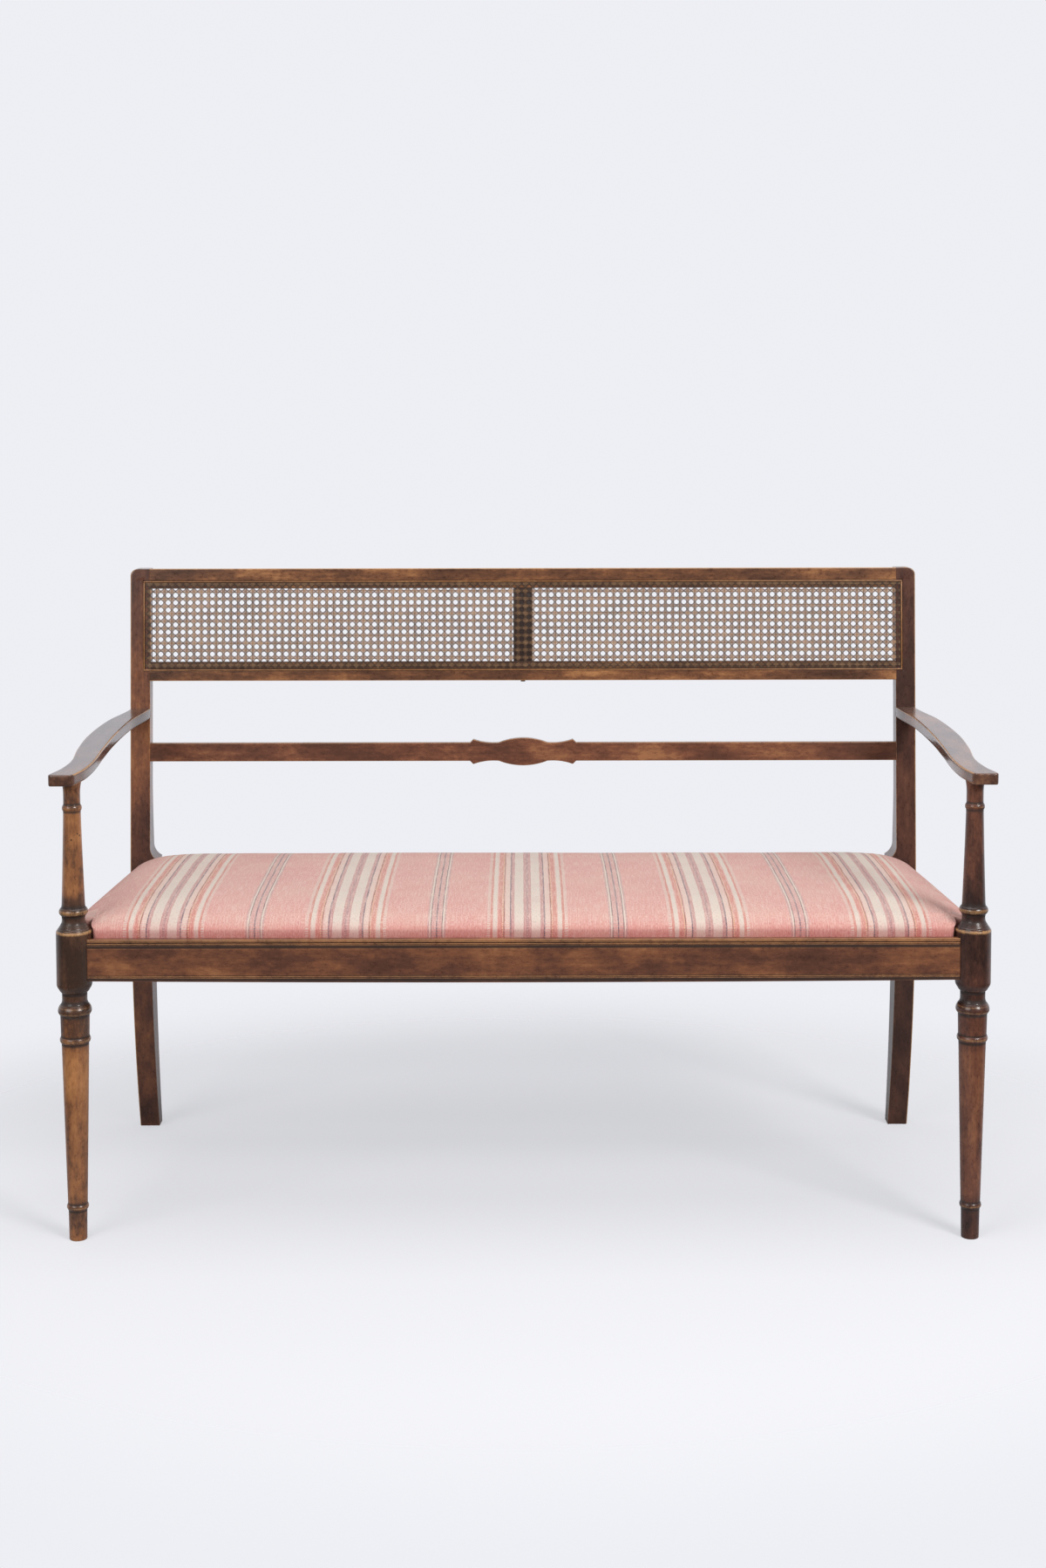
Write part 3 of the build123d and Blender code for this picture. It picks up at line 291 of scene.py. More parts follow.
@dataclass
class Piece:
    """One visible piece: a mesh in local millimetres that is placed in the world at the end.

    Args:
        name: the piece's name.
        place: turns local millimetres into world metres.
        grain: index of the local axis that the grain runs along.
    """

    name: str
    place: Matrix = field(default_factory=lambda: Matrix.Scale(MM, 4))
    grain: int = 0
    bm: bmesh.types.BMesh = field(default_factory=bmesh.new)

    def __post_init__(self) -> None:
        self.wear = self.bm.verts.layers.float.new("wear")

    def _vert(self, place: Sequence[float], wear: float) -> bmesh.types.BMVert:
        vert = self.bm.verts.new(place)
        vert[self.wear] = wear
        return vert

    def loft(self, rings: Sequence[Ring]) -> None:
        """Extrudes the first ring through all the others and closes both ends.

        Args:
            rings: cross-sections with the same number of points, each a place and its wear.
        """
        verts = [self._vert(place, wear) for place, wear in rings[0]]
        edges = [self.bm.edges.new(pair) for pair in closed_pairs(verts)]
        first = list(edges)
        for ring in rings[1:]:
            made = bmesh.ops.extrude_edge_only(self.bm, edges=edges)["geom"]
            fresh = {v for v in made if isinstance(v, bmesh.types.BMVert)}
            verts = [next(e.other_vert(vert) for e in vert.link_edges if e.other_vert(vert) in fresh)
                     for vert in verts]
            for vert, (place, wear) in zip(verts, ring):
                vert.co = place
                vert[self.wear] = wear
            edges = [self.bm.edges.get(pair) for pair in closed_pairs(verts)]
        for cap in (first, edges):
            bmesh.ops.contextual_create(self.bm, geom=cap)
        dedupe(self.bm, 0.004)

    def spin(self, profile: Sequence[RingPoint], steps: int) -> None:
        """Spins an open profile (radius, height) round the local Z axis."""
        verts = [self._vert((point.u, 0.0, point.v), point.wear) for point in profile]
        edges = [self.bm.edges.new(pair) for pair in zip(verts, verts[1:])]
        bmesh.ops.spin(self.bm, geom=verts + edges, cent=(0, 0, 0), axis=(0, 0, 1), angle=math.tau,
                       steps=steps, use_merge=True)
        dedupe(self.bm, 0.01)

    def box(self, low: Sequence[float], high: Sequence[float], arris: float) -> None:
        """Adds a box between two corners, with bevelled edges."""
        size = Vector(high) - Vector(low)
        place = Matrix.Translation((Vector(low) + Vector(high)) / 2) @ Matrix.Diagonal((*size, 1.0))
        made = bmesh.ops.create_cube(self.bm, size=1.0, matrix=place)
        edges = list({e for v in made["verts"] for e in v.link_edges})
        bmesh.ops.bevel(self.bm, geom=edges, offset=arris, segments=2, profile=0.5, affect="EDGES",
                        clamp_overlap=True, material=-1)

    def rub(self, wear: float) -> None:
        """Gives every point the same wear."""
        for vert in self.bm.verts:
            vert[self.wear] = wear

    def finish(self, look: "Finish", body: Body, slot: Slot, replaces: Sequence[str],
               sharp: float = 38.0, seed: Optional[Sequence[float]] = None) -> bpy.types.Object:
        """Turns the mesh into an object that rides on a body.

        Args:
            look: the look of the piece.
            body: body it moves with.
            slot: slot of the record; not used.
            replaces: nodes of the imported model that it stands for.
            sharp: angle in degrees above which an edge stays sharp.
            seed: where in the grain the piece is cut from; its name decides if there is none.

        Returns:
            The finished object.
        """
        bmesh.ops.recalc_face_normals(self.bm, faces=self.bm.faces)
        grain = self.bm.verts.layers.float_vector.new("grain")
        shift = Vector(seed or (len(self.name) * 0.37, 0.11 * ord(self.name[0]), 0.0))
        for vert in self.bm.verts:
            vert[grain] = Vector([vert.co[(self.grain + i) % 3] for i in range(3)]) * MM + shift
        for edge in self.bm.edges:
            edge.smooth = len(edge.link_faces) == 2 and edge.calc_face_angle(0.0) < math.radians(sharp)
        for face in self.bm.faces:
            face.smooth = True
        self.bm.transform(self.place)
        if self.place.determinant() < 0:
            bmesh.ops.reverse_faces(self.bm, faces=self.bm.faces)
        mesh = bpy.data.meshes.new(self.name)
        self.bm.to_mesh(mesh)
        self.bm.free()
        obj = bpy.data.objects.new(self.name, mesh)
        bpy.context.scene.collection.objects.link(obj)
        look.apply(obj)
        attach(obj, body.value)
        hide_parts(*replaces)
        return obj

    def wood(self, look: "Finish", node: str, seed: Sequence[float]) -> None:
        """Finishes a polished piece of the frame that stands for one node."""
        self.finish(look, Body.FRAME, Slot.POLISHED_WOOD, [node], seed=seed)


# Shading


class Socket:
    """A shader value that can be added, multiplied and compared like a number."""

    def __init__(self, graph: "Graph", link) -> None:
        self.graph, self.link = graph, link

    def _math(self, operation: str, *others) -> "Socket":
        return self.graph.math(operation, self, *others)

    def __add__(self, other) -> "Socket":
        return self._math("ADD", other)

    __radd__ = __add__

    def __sub__(self, other) -> "Socket":
        return self._math("SUBTRACT", other)

    def __rsub__(self, other) -> "Socket":
        return self.graph.math("SUBTRACT", other, self)

    def __mul__(self, other) -> "Socket":
        return self._math("MULTIPLY", other)

    __rmul__ = __mul__

    def __truediv__(self, other) -> "Socket":
        return self._math("DIVIDE", other)

    def __pow__(self, other) -> "Socket":
        return self._math("POWER", other)

    def abs(self) -> "Socket":
        """Size without its sign."""
        return self._math("ABSOLUTE")

    def sin(self) -> "Socket":
        """Sine of an angle in radians."""
        return self._math("SINE")

    def fold(self, period: float) -> "Socket":
        """Distance to the nearest whole multiple of the period."""
        return self._math("PINGPONG", period / 2)

    def above(self, edge: float, soft: float) -> "Socket":
        """Smooth step from 0 below the edge to 1 above it."""
        return self.graph.remap(self, edge - soft, edge + soft)

    def below(self, edge: float, soft: float) -> "Socket":
        """Smooth step from 1 below the edge to 0 above it."""
        return 1.0 - self.above(edge, soft)

    def between(self, low: float, high: float, soft: float) -> "Socket":
        """1 between two edges and 0 outside them, with smooth steps."""
        return self.above(low, soft) - self.above(high, soft)

    def clamp(self) -> "Socket":
        """Value held between 0 and 1."""
        return self.graph.remap(self, 0.0, 1.0, kind="LINEAR")


class Graph:
    """Node tree of one material or of the world."""

    def __init__(self, owner: Union[bpy.types.Material, bpy.types.World]) -> None:
        self.owner = owner
        owner.use_nodes = True
        self.tree = owner.node_tree
        self.tree.nodes.clear()

    def node(self, kind: str, output: Union[int, str] = 0, options: Optional[Dict] = None,
             **inputs) -> Socket:
        """Adds any node.

        Args:
            kind: Blender's type name of the node.
            output: index or name of the output that is returned.
            options: attributes set on the node.
            inputs: values or sockets by input name, with _ for a space, or i0, i1 for an index.

        Returns:
            The chosen output.
        """
        node = self.tree.nodes.new(kind)
        for key, value in (options or {}).items():
            setattr(node, key, value)
        for key, value in inputs.items():
            by_index = key[0] == "i" and key[1:].isdigit()
            self.feed(node.inputs[int(key[1:]) if by_index else key.replace("_", " ")], value)
        return Socket(self, node.outputs[output])

    def feed(self, target, value) -> None:
        """Sets or links one input."""
        if isinstance(value, Socket):
            self.tree.links.new(value.link, target)
        elif isinstance(value, tuple) and len(value) == 3 and target.type == "RGBA":
            target.default_value = (*value, 1.0)
        else:
            target.default_value = value

    def close(self, kind: str, shader: Socket) -> None:
        """Ends the tree with an output node."""
        self.feed(self.tree.nodes.new(kind).inputs[0], shader)

    def math(self, operation: str, *values) -> Socket:
        """One maths node over numbers or sockets."""
        return self.node("ShaderNodeMath", options={"operation": operation},
                         **{f"i{index}": value for index, value in enumerate(values)})

    def remap(self, value: Socket, low: float, high: float, start: float = 0.0, end: float = 1.0,
              kind: str = "SMOOTHSTEP") -> Socket:
        """Maps low..high to start..end and holds it there."""
        return self.node("ShaderNodeMapRange", options={"interpolation_type": kind, "clamp": True},
                         i0=value, i1=low, i2=high, i3=start, i4=end)

    def mix(self, factor, first, second, blend: str = "MIX") -> Socket:
        """Mixes two colours."""
        return self.node("ShaderNodeMix", 2, {"data_type": "RGBA", "blend_type": blend},
                         i0=factor, i6=first, i7=second)

    def ramp(self, value: Socket, stops: Sequence[Tuple[float, Colour]], kind: str = "LINEAR") -> Socket:
        """Colours a value by a list of places and colours."""
        node = self.tree.nodes.new("ShaderNodeValToRGB")
        node.color_ramp.interpolation = kind
        elements = node.color_ramp.elements
        elements[0].position, elements[0].color = stops[0][0], (*stops[0][1], 1.0)
        elements[1].position, elements[1].color = stops[-1][0], (*stops[-1][1], 1.0)
        for place, colour in stops[1:-1]:
            elements.new(place).color = (*colour, 1.0)
        self.feed(node.inputs[0], value)
        return Socket(self, node.outputs[0])

    def attribute(self, name: str, output: str = "Vector") -> Socket:
        """Reads one of the piece's own attributes."""
        return self.node("ShaderNodeAttribute", output, {"attribute_name": name})

    def stretched(self, vector: Socket, scale: Sequence[float]) -> Socket:
        """Scales a vector on its three axes."""
        return self.node("ShaderNodeVectorMath", options={"operation": "MULTIPLY"}, i0=vector, i1=tuple(scale))

    def noise(self, vector: Socket, scale: float, detail: float, rough: float) -> Socket:
        """Cloudy noise from 0 to 1."""
        return self.node("ShaderNodeTexNoise", Vector=vector, Scale=scale, Detail=detail, Roughness=rough)

    def object_place(self) -> Socket:
        """Place in the piece's own space, in metres."""
        return self.node("ShaderNodeTexCoord", "Object")

    def parts(self, vector: Socket) -> Tuple[Socket, Socket, Socket]:
        """The three parts of a vector."""
        node = self.tree.nodes.new("ShaderNodeSeparateXYZ")
        self.feed(node.inputs[0], vector)
        return tuple(Socket(self, out) for out in node.outputs)

    def surface(self, colour, roughness, bump: Optional[Socket] = None, bump_depth: float = 0.0,
                **constants) -> bpy.types.Material:
        """Closes the tree with one principled surface.

        Args:
            colour: base colour.
            roughness: roughness.
            bump: height from 0 to 1.
            bump_depth: height of the bump in metres.
            constants: other inputs of the surface.

        Returns:
            The finished material.
        """
        inputs = {"Base_Color": colour, "Roughness": roughness, **constants}
        if bump is not None:
            inputs["Normal"] = self.node("ShaderNodeBump", Height=bump, Strength=1.0, Distance=bump_depth)
        self.close("ShaderNodeOutputMaterial", self.node("ShaderNodeBsdfPrincipled", **inputs))
        return self.owner


@dataclass(frozen=True)
class Finish:
    """A look that can be put on a piece. Subclasses build its material."""

    name: str

    def shade(self, g: Graph) -> bpy.types.Material:
        """Fills the material's tree and returns the material."""
        raise NotImplementedError

    def apply(self, obj: bpy.types.Object) -> None:
        """Puts the finish, its material built once, on an object in place of what it wears."""
        found = bpy.data.materials.get(self.name)
        obj.data.materials.clear()
        obj.data.materials.append(found or self.shade(Graph(bpy.data.materials.new(self.name))))


@dataclass(frozen=True)
class PolishedWood(Finish):
    """Old stained and polished hardwood, rubbed golden on its arrises and dark in its hollows.

    Bands and worm holes lie between two heights above the floor, in metres.
    """

    dark: Colour = (0.052, 0.021, 0.014)
    body: Colour = (0.112, 0.043, 0.025)
    warm: Colour = (0.190, 0.072, 0.034)
    gold: Colour = (0.33, 0.145, 0.060)
    # Darkest tone: pores, worm holes and hollows, and painted shade under and behind the cane.
    dirt: Colour = (0.020, 0.010, 0.007)
    worn: Colour = (0.50, 0.27, 0.115)
    wear_share: float = 1.0
    roughness: float = 0.30
    coat: float = 0.25
    contrast: float = 0.85
    pale_bands: Tuple[Pair, ...] = ()
    dark_bands: Tuple[Pair, ...] = ()
    worm_holes: Optional[Pair] = None

    def shade(self, g: Graph) -> bpy.types.Material:
        """Mottling, grain streaks, pores, rubbed arrises, darkening in the hollows and painted shade where the
        wear is below zero under and behind the cane.
        """
        grain = g.attribute("grain")
        wear = g.attribute("wear", "Fac")
        mottle = g.noise(g.stretched(grain, (1.0, 2.2, 2.2)), 13.0, 7.0, 0.66)
        streak = g.noise(g.stretched(grain, (1.0, 14.0, 14.0)), 10.0, 6.0, 0.66)
        fine = g.noise(g.stretched(grain, (1.0, 22.0, 22.0)), 70.0, 3.0, 0.6)
        smear = g.noise(g.stretched(grain, (1.0, 1.8, 1.8)), 110.0, 7.0, 0.75)
        broad = g.noise(grain, 4.5, 2.0, 0.5)
        level = (mottle * 0.50 + streak * 0.18 + smear * 0.24 + broad * 0.30 - 0.61) * self.contrast + 0.5
        _, _, height = g.parts(g.object_place())
        for band in self.pale_bands:
            level = level + height.between(*band, 0.012) * 0.085
        for band in self.dark_bands:
            level = level - height.between(*band, 0.020) * 0.075
        tone = g.ramp(level, [(0.39, self.dark), (0.485, self.body), (0.55, self.warm), (0.65, self.gold)])
        tone = g.mix(fine.above(0.63, 0.08) * 0.28, tone, self.dirt)
        rubbed = (wear * (smear * 2.0 - 0.1)).above(0.46, 0.26) * self.wear_share
        tone = g.mix(rubbed.clamp() * 0.8, tone, self.worn)
        # Negative wear darkens the hollows, and paints shade on the cane's bed and groove and on the muntin
        # behind the cane.
        hollow_dark_and_shade = (wear * -1.0).above(0.30, 0.28)
        tone = g.mix(hollow_dark_and_shade * 0.85, tone, self.dirt)
        if self.worm_holes:
            cell = g.node("ShaderNodeTexVoronoi", Vector=g.object_place(), Scale=95.0)
            hole = cell.below(0.13, 0.035) * height.between(*self.worm_holes, 0.01)
            tone = g.mix((hole * mottle.above(0.50, 0.05)).clamp() * 0.85, tone, self.dirt)
        rough = self.roughness + (smear - 0.5) * 0.30 + hollow_dark_and_shade * 0.3
        bump = streak * 0.25 + fine * 0.35 + smear * 0.4
        return g.surface(tone, rough, bump, 0.00014, Coat_Weight=self.coat, Coat_Roughness=0.12,
                         Specular_IOR_Level=0.38)


@dataclass(frozen=True)
class RawWood(Finish):
    """Plain wood that isn't polished, for the hidden pieces."""

    light: Colour = (0.42, 0.27, 0.14)
    dark: Colour = (0.28, 0.16, 0.075)

    def shade(self, g: Graph) -> bpy.types.Material:
        """Soft streaks along the settee."""
        streak = g.noise(g.stretched(g.object_place(), (4.0, 30.0, 60.0)), 5.0, 5.0, 0.6)
        return g.surface(g.ramp(streak, [(0.35, self.dark), (0.65, self.light)]), 0.72, streak, 0.0002)


@dataclass(frozen=True)
class CaneFinish(Finish):
    """Varnished cane, its colour changing from strand to strand.

    Where the cane lies on wood and not over an opening, it is darker by the share `bed_shade`. The
    openings lie between two heights and, on each side, between two distances from the middle, in metres.
    """

    light: Colour = (0.44, 0.26, 0.135)
    middle: Colour = (0.20, 0.105, 0.052)
    dark: Colour = (0.030, 0.017, 0.012)
    bed_shade: float = 0.0
    open_heights: Pair = (0.7546, 0.8693)
    open_sides: Pair = (0.0149, 0.586)

    def shade(self, g: Graph) -> bpy.types.Material:
        """Streaks along each strand, darker where the wear attribute is low."""
        strand = g.attribute("wear", "Fac")
        streak = g.noise(g.stretched(g.attribute("grain"), (1.0, 1.0, 3.0)), 260.0, 3.0, 0.6)
        cloud = g.noise(g.object_place(), 34.0, 4.0, 0.6)
        level = (strand + (streak - 0.5) * 0.9 + (cloud - 0.5) * 0.8).clamp()
        tone = g.ramp(level, [(0.08, self.dark), (0.5, self.middle), (0.92, self.light)])
        if self.bed_shade:
            x, _, z = g.parts(g.object_place())
            over = z.between(*self.open_heights, 0.0006) * x.abs().between(*self.open_sides, 0.0006)
            tone = g.mix((1.0 - over).clamp() * self.bed_shade, tone, self.dark)
        return g.surface(tone, 0.42, streak, 0.00008, Coat_Weight=0.1, Coat_Roughness=0.25,
                         Specular_IOR_Level=0.35)


@dataclass(frozen=True)
class Cloth(Finish):
    """Plain woven cloth; the pitch of its threads is in metres."""

    warp: Colour
    weft: Colour
    pitch: float

    def shade(self, g: Graph) -> bpy.types.Material:
        """A plain weave in the settee's own plan."""
        x, y, _ = g.parts(g.object_place())
        turns = math.tau / self.pitch
        check = (x * turns).sin() * (y * turns).sin()
        cloud = g.noise(g.object_place(), 60.0, 3.0, 0.5)
        tone = g.mix(check.above(0.0, 0.5), self.warp, self.weft)
        return g.surface(tone, 0.9, check * 0.5 + cloud * 0.5, 0.0003)


@dataclass(frozen=True)
class PlainMetal(Finish):
    """Plain steel of the screws."""

    colour: Colour = (0.42, 0.41, 0.39)

    def shade(self, g: Graph) -> bpy.types.Material:
        """Brushed steel with a little tarnish."""
        cloud = g.noise(g.object_place(), 300.0, 3.0, 0.5)
        return g.surface(self.colour, 0.28 + cloud * 0.2, Metallic=1.0)


@dataclass(frozen=True)
class Stripe:
    """One band of the striped cloth: where it begins, its ground and the colour of its figure."""

    start: float
    ground: Colour
    figure: Colour


PINK: Colour = (0.665, 0.345, 0.305)
PALE_PINK: Colour = (0.72, 0.46, 0.40)
CREAM: Colour = (0.675, 0.61, 0.535)
MAUVE: Colour = (0.52, 0.30, 0.285)
ASHEN: Colour = (0.54, 0.37, 0.35)
DUSK: Colour = (0.29, 0.20, 0.215)
NAVY: Colour = (0.095, 0.090, 0.140)
OLIVE: Colour = (0.21, 0.150, 0.130)
RED: Colour = (0.60, 0.25, 0.205)
RUST: Colour = (0.30, 0.13, 0.10)
YELLOW: Colour = (0.72, 0.50, 0.33)


@dataclass(frozen=True)
class StripedFabric(Finish):
    """Salmon cloth with broad groups of stripes and narrow ones midway between them."""

    period: float = 0.2508
    centre: float = 0.0053
    figure: float = 0.0032
    threads: Pair = (0.0011, 0.0013)
    lint: Colour = (0.76, 0.585, 0.52)
    depth_tone: Colour = (0.42, 0.17, 0.15)
    edge_height: float = 0.4375
    edge_tone: Colour = (0.70, 0.26, 0.27)
    faded: Colour = (0.70, 0.56, 0.44)
    soiled: Colour = (0.55, 0.24, 0.21)
    stripes: Tuple[Stripe, ...] = (
        Stripe(0.0, MAUVE, DUSK),
        Stripe(1.1, MAUVE, MAUVE),
        Stripe(4.9, CREAM, CREAM),
        Stripe(18.1, MAUVE, MAUVE),
        Stripe(22.2, DUSK, NAVY),
        Stripe(24.3, PALE_PINK, CREAM),
        Stripe(30.6, PINK, PALE_PINK),
        Stripe(31.8, RUST, RUST),
        Stripe(33.1, RED, YELLOW),
        Stripe(34.9, RED, RED),
        Stripe(40.4, PINK, PALE_PINK),
        Stripe(41.9, CREAM, CREAM),
        Stripe(47.6, RED, RED),
        Stripe(51.4, PINK, CREAM),
        Stripe(55.6, PINK, PINK),
        Stripe(112.2, MAUVE, ASHEN),
        Stripe(115.0, CREAM, CREAM),
        Stripe(116.9, OLIVE, DUSK),
        Stripe(118.3, PINK, ASHEN),
        Stripe(124.1, DUSK, NAVY),
    )

    def shade(self, g: Graph) -> bpy.types.Material:
        """Bands by the distance to the nearest group, figures broken up along the cloth."""
        uv = g.attribute("weave")
        across, along, _ = g.parts(uv)
        wander = (g.noise(g.stretched(uv, (0.8, 6.0, 1.0)), 3.0, 2.0, 0.5) - 0.5) * 0.0016
        fray = (g.noise(uv, 900.0, 1.0, 0.5) - 0.5) * 0.0009
        half = self.period / 2
        level = (across - self.centre + wander + fray).fold(self.period) / half
        grounds = [(s.start * MM / half, s.ground) for s in self.stripes]
        figures = [(s.start * MM / half, s.figure) for s in self.stripes]
        dash = (along * (math.tau / self.figure) + (across * 700.0).sin() * 0.5).sin().above(0.0, 0.4)
        tone = g.mix(dash, g.ramp(level, grounds, "CONSTANT"), g.ramp(level, figures, "CONSTANT"))
        rib = g.noise(g.stretched(uv, (1.0, 0.05, 1.0)), 620.0, 2.0, 0.6)
        fleck = g.noise(g.stretched(uv, (1.0, 0.35, 1.0)), 700.0, 2.0, 0.6)
        tone = g.mix(rib.above(0.54, 0.06) * 0.36 + fleck.above(0.55, 0.08) * 0.36, tone, self.lint)
        # Painted shade between the threads: dark flecks across the weave.
        tone = g.mix(fleck.below(0.40, 0.09) * 0.34, tone, self.depth_tone)
        _, _, height = g.parts(g.object_place())
        # Painted shade and soiling where the cloth meets the rail: darker and redder below a set height.
        tone = g.mix(height.below(self.edge_height, 0.0110) * 0.62, tone, self.edge_tone, "MULTIPLY")
        cloud = g.noise(g.object_place(), 13.0, 5.0, 0.62)
        tone = g.mix(cloud.above(0.56, 0.16) * 0.16, tone, self.faded)
        tone = g.mix(cloud.below(0.42, 0.12) * 0.14, tone, self.soiled)
        warp, weft = self.threads
        thread = (along * (math.tau / weft)).sin() * (across * (math.tau / warp)).sin()
        return g.surface(tone, 0.88, thread * 0.35 + rib * 0.4 + fleck * 0.5, 0.00035, Sheen_Weight=0.12,
                         Sheen_Roughness=0.5, Specular_IOR_Level=0.25)


@dataclass(frozen=True)
class Backdrop(Finish):
    """Pale studio floor that runs out into the surroundings."""

    colour: Colour = (0.84, 0.84, 0.875)
    reach: Pair = (1.35, 1.15)
    depth: float = 0.40

    def shade(self, g: Graph) -> bpy.types.Material:
        """Matte round the object and clear further out, so that only its soft shadow shows."""
        x, y, _ = g.parts(g.object_place())
        far = ((x / self.reach[0]) ** 2.0 + (y / self.reach[1]) ** 2.0) ** 0.5
        shown = (1.0 - g.remap(far, 0.60, 1.0)) * self.depth
        return g.surface(self.colour, 0.9, Specular_IOR_Level=0.0, Alpha=shown)


WOOD = PolishedWood("old_polished_wood")
WOOD_BACK = PolishedWood(
    "old_polished_wood_back", dark=(0.056, 0.023, 0.012), body=(0.112, 0.046, 0.022),
    warm=(0.185, 0.075, 0.031), gold=(0.37, 0.175, 0.068), contrast=1.15)
WOOD_STAY = PolishedWood(
    "old_polished_wood_stay", dark=(0.085, 0.032, 0.018), body=(0.130, 0.048, 0.026),
    warm=(0.180, 0.068, 0.034), gold=(0.29, 0.128, 0.055), wear_share=0.5, contrast=1.35)
# Darkest wood: the right back post's own darker colour, and painted shade on the muntin behind the cane.
DARK_WOOD_AND_SHADE = PolishedWood(
    "old_polished_wood_dark", dark=(0.024, 0.010, 0.007), body=(0.054, 0.021, 0.014),
    warm=(0.098, 0.038, 0.023), gold=(0.20, 0.085, 0.045), contrast=0.6)
WOOD_POST = PolishedWood("old_polished_wood_left_back_post", dark_bands=((0.005, 0.055), (0.39, 0.52)))
WOOD_ARM = PolishedWood(
    "old_polished_wood_arm", dark=(0.036, 0.018, 0.013), body=(0.080, 0.038, 0.026),
    warm=(0.150, 0.070, 0.042), gold=(0.30, 0.150, 0.080), roughness=0.24, coat=0.45)
WOOD_LEFT = PolishedWood(
    "old_polished_wood_left_post", dark=(0.042, 0.021, 0.013), body=(0.098, 0.044, 0.025),
    warm=(0.25, 0.100, 0.039), gold=(0.43, 0.190, 0.070),
    pale_bands=((0.055, 0.275), (0.485, 0.600)), dark_bands=((0.322, 0.480),), worm_holes=(0.50, 0.585))
WOOD_RIGHT = PolishedWood(
    "old_polished_wood_right_post", dark=(0.028, 0.012, 0.009), body=(0.076, 0.029, 0.019),
    warm=(0.150, 0.055, 0.031), gold=(0.27, 0.112, 0.052),
    pale_bands=((0.055, 0.27),), dark_bands=((0.322, 0.480),))
CANE = CaneFinish("woven_cane_strands", bed_shade=0.52)
REED = CaneFinish("reed_spline", light=(0.42, 0.22, 0.09), middle=(0.24, 0.105, 0.04), dark=(0.08, 0.035, 0.018))
FABRIC = StripedFabric("striped_fabric_cover")


# Turned front posts


@dataclass(frozen=True)
class TurnedPosts:
    """The two front posts, each turned from one length; their tops follow the slope of the arms."""

    sizes: Sizes = SIZES
    top: float = 640.1
    sloped: float = 12.0

    def outline(self) -> List[Pair]:
        """Radius and height of every point of the turning, from the floor up."""
        foot = [(0.0, 0.0), (11.4, 0.0), (12.0, 0.3), (12.25, 1.2),
                *self._run((12.25, 1.2), (12.8, 41.0), 12),
                *self._bead((12.6, 42.0), 15.0, (13.6, 50.6))]
        leg = [*self._run((13.5, 51.2), (18.7, 276.6), 60),
               *self._bead((18.6, 277.6), 21.1, (19.4, 286.8)),
               *self._run((19.4, 287.4), (20.0, 316.4), 10),
               *self._bead((19.8, 317.0), 23.1, (18.8, 332.4), 0.44)]
        block = [(18.3, 333.4), (17.4, 336.0), (17.2, 338.0), (17.2, 341.0), (17.2, 344.0), (17.25, 347.4),
                 (17.6, 348.3), (19.2, 350.0), (20.4, 351.4),
                 *self._arc((20.6, 352.2), (24.3, 363.6), 0.72, 8),
                 *self._run((24.3, 364.4), (24.3, 433.0), 20),
                 (24.25, 433.6), (23.9, 434.3), (23.3, 434.8), (22.9, 435.6), (22.3, 436.0), (22.2, 436.8),
                 (21.7, 437.4), (20.6, 438.6), (20.2, 439.0), (20.1, 439.8), (19.5, 440.4)]
        support = [*self._run((19.0, 441.2), (16.7, 445.2), 4),
                   *self._arc((16.4, 446.0), (16.3, 455.2), -0.55, 7),
                   *self._bead((16.4, 455.8), 19.8, (16.5, 467.0)),
                   (16.2, 468.2), (16.05, 469.6),
                   *self._run((15.9, 471.0), (12.0, 600.4), 40, lambda t: -t * (1 - t)),
                   *self._bead((12.0, 601.0), 13.5, (11.7, 609.6)),
                   *self._run((11.6, 610.4), (11.6, 627.5), 6),
                   *self._arc((11.7, 629.0), (13.2, self.top), -0.3, 6),
                   (13.2, self.top + 1.6), (0.0, self.top + 1.6)]
        return foot + leg + block + support

    @staticmethod
    def _run(a: Pair, b: Pair, steps: int, push: Callable[[float], float] = lambda t: 0.0) -> List[Pair]:
        """Points from one place to another, pushed outwards by a function of the share of the way."""
        return [(a[0] + (b[0] - a[0]) * t + push(t), a[1] + (b[1] - a[1]) * t) for t in even(0.0, 1.0, steps)]

    def _bead(self, a: Pair, middle: float, b: Pair, peak: float = 0.5) -> List[Pair]:
        """A bead that swells to a radius at a share of its height."""
        swell = middle - (a[0] + (b[0] - a[0]) * peak)

        def push(t: float) -> float:
            turn = t / peak / 2 if t < peak else 0.5 + (t - peak) / (1 - peak) / 2
            return swell * math.sin(math.pi * turn) ** 0.72

        return self._run(a, b, 12, push)

    def _arc(self, a: Pair, b: Pair, bulge: float, steps: int) -> List[Pair]:
        """A swelling, or a hollow where the bulge is negative."""
        reach = max(abs(b[0] - a[0]), 2.0)
        return self._run(a, b, steps, lambda t: reach * bulge * 0.5 * math.sin(math.pi * t))

    def profile(self) -> List[RingPoint]:
        """The outline with wear on every ridge and darkening in every hollow."""
        points = self.outline()
        result = []
        for r, z in points:
            near = [p[0] for p in points if abs(p[1] - z) < 5.0 and p[0] > 1.0]
            mean = sum(near) / len(near) if near else r
            result.append(RingPoint(r, z, held((r - mean) / 1.6, -1.0)))
        return result

    def build(self) -> None:
        """Spins both posts and cuts their tops to the slope of the arms."""
        s = self.sizes
        for side, look in ((Side.LEFT, WOOD_LEFT), (Side.RIGHT, WOOD_RIGHT)):
            move = Matrix.Translation((side.value * s.front_axis_x, s.axis_y, 0.0))
            piece = Piece(f"turned_post_{side.word}", Matrix.Scale(MM, 4) @ move, grain=2)
            piece.spin(self.profile(), 72)
            for vert in piece.bm.verts:
                if vert.co.z > self.top - self.sloped:
                    vert.co.z += vert.co.y * s.arm_slope
            piece.wood(look, f"front_post_{side.word}", (0.3 + side.value * 1.7, 0.2, 0.4))


# Back posts


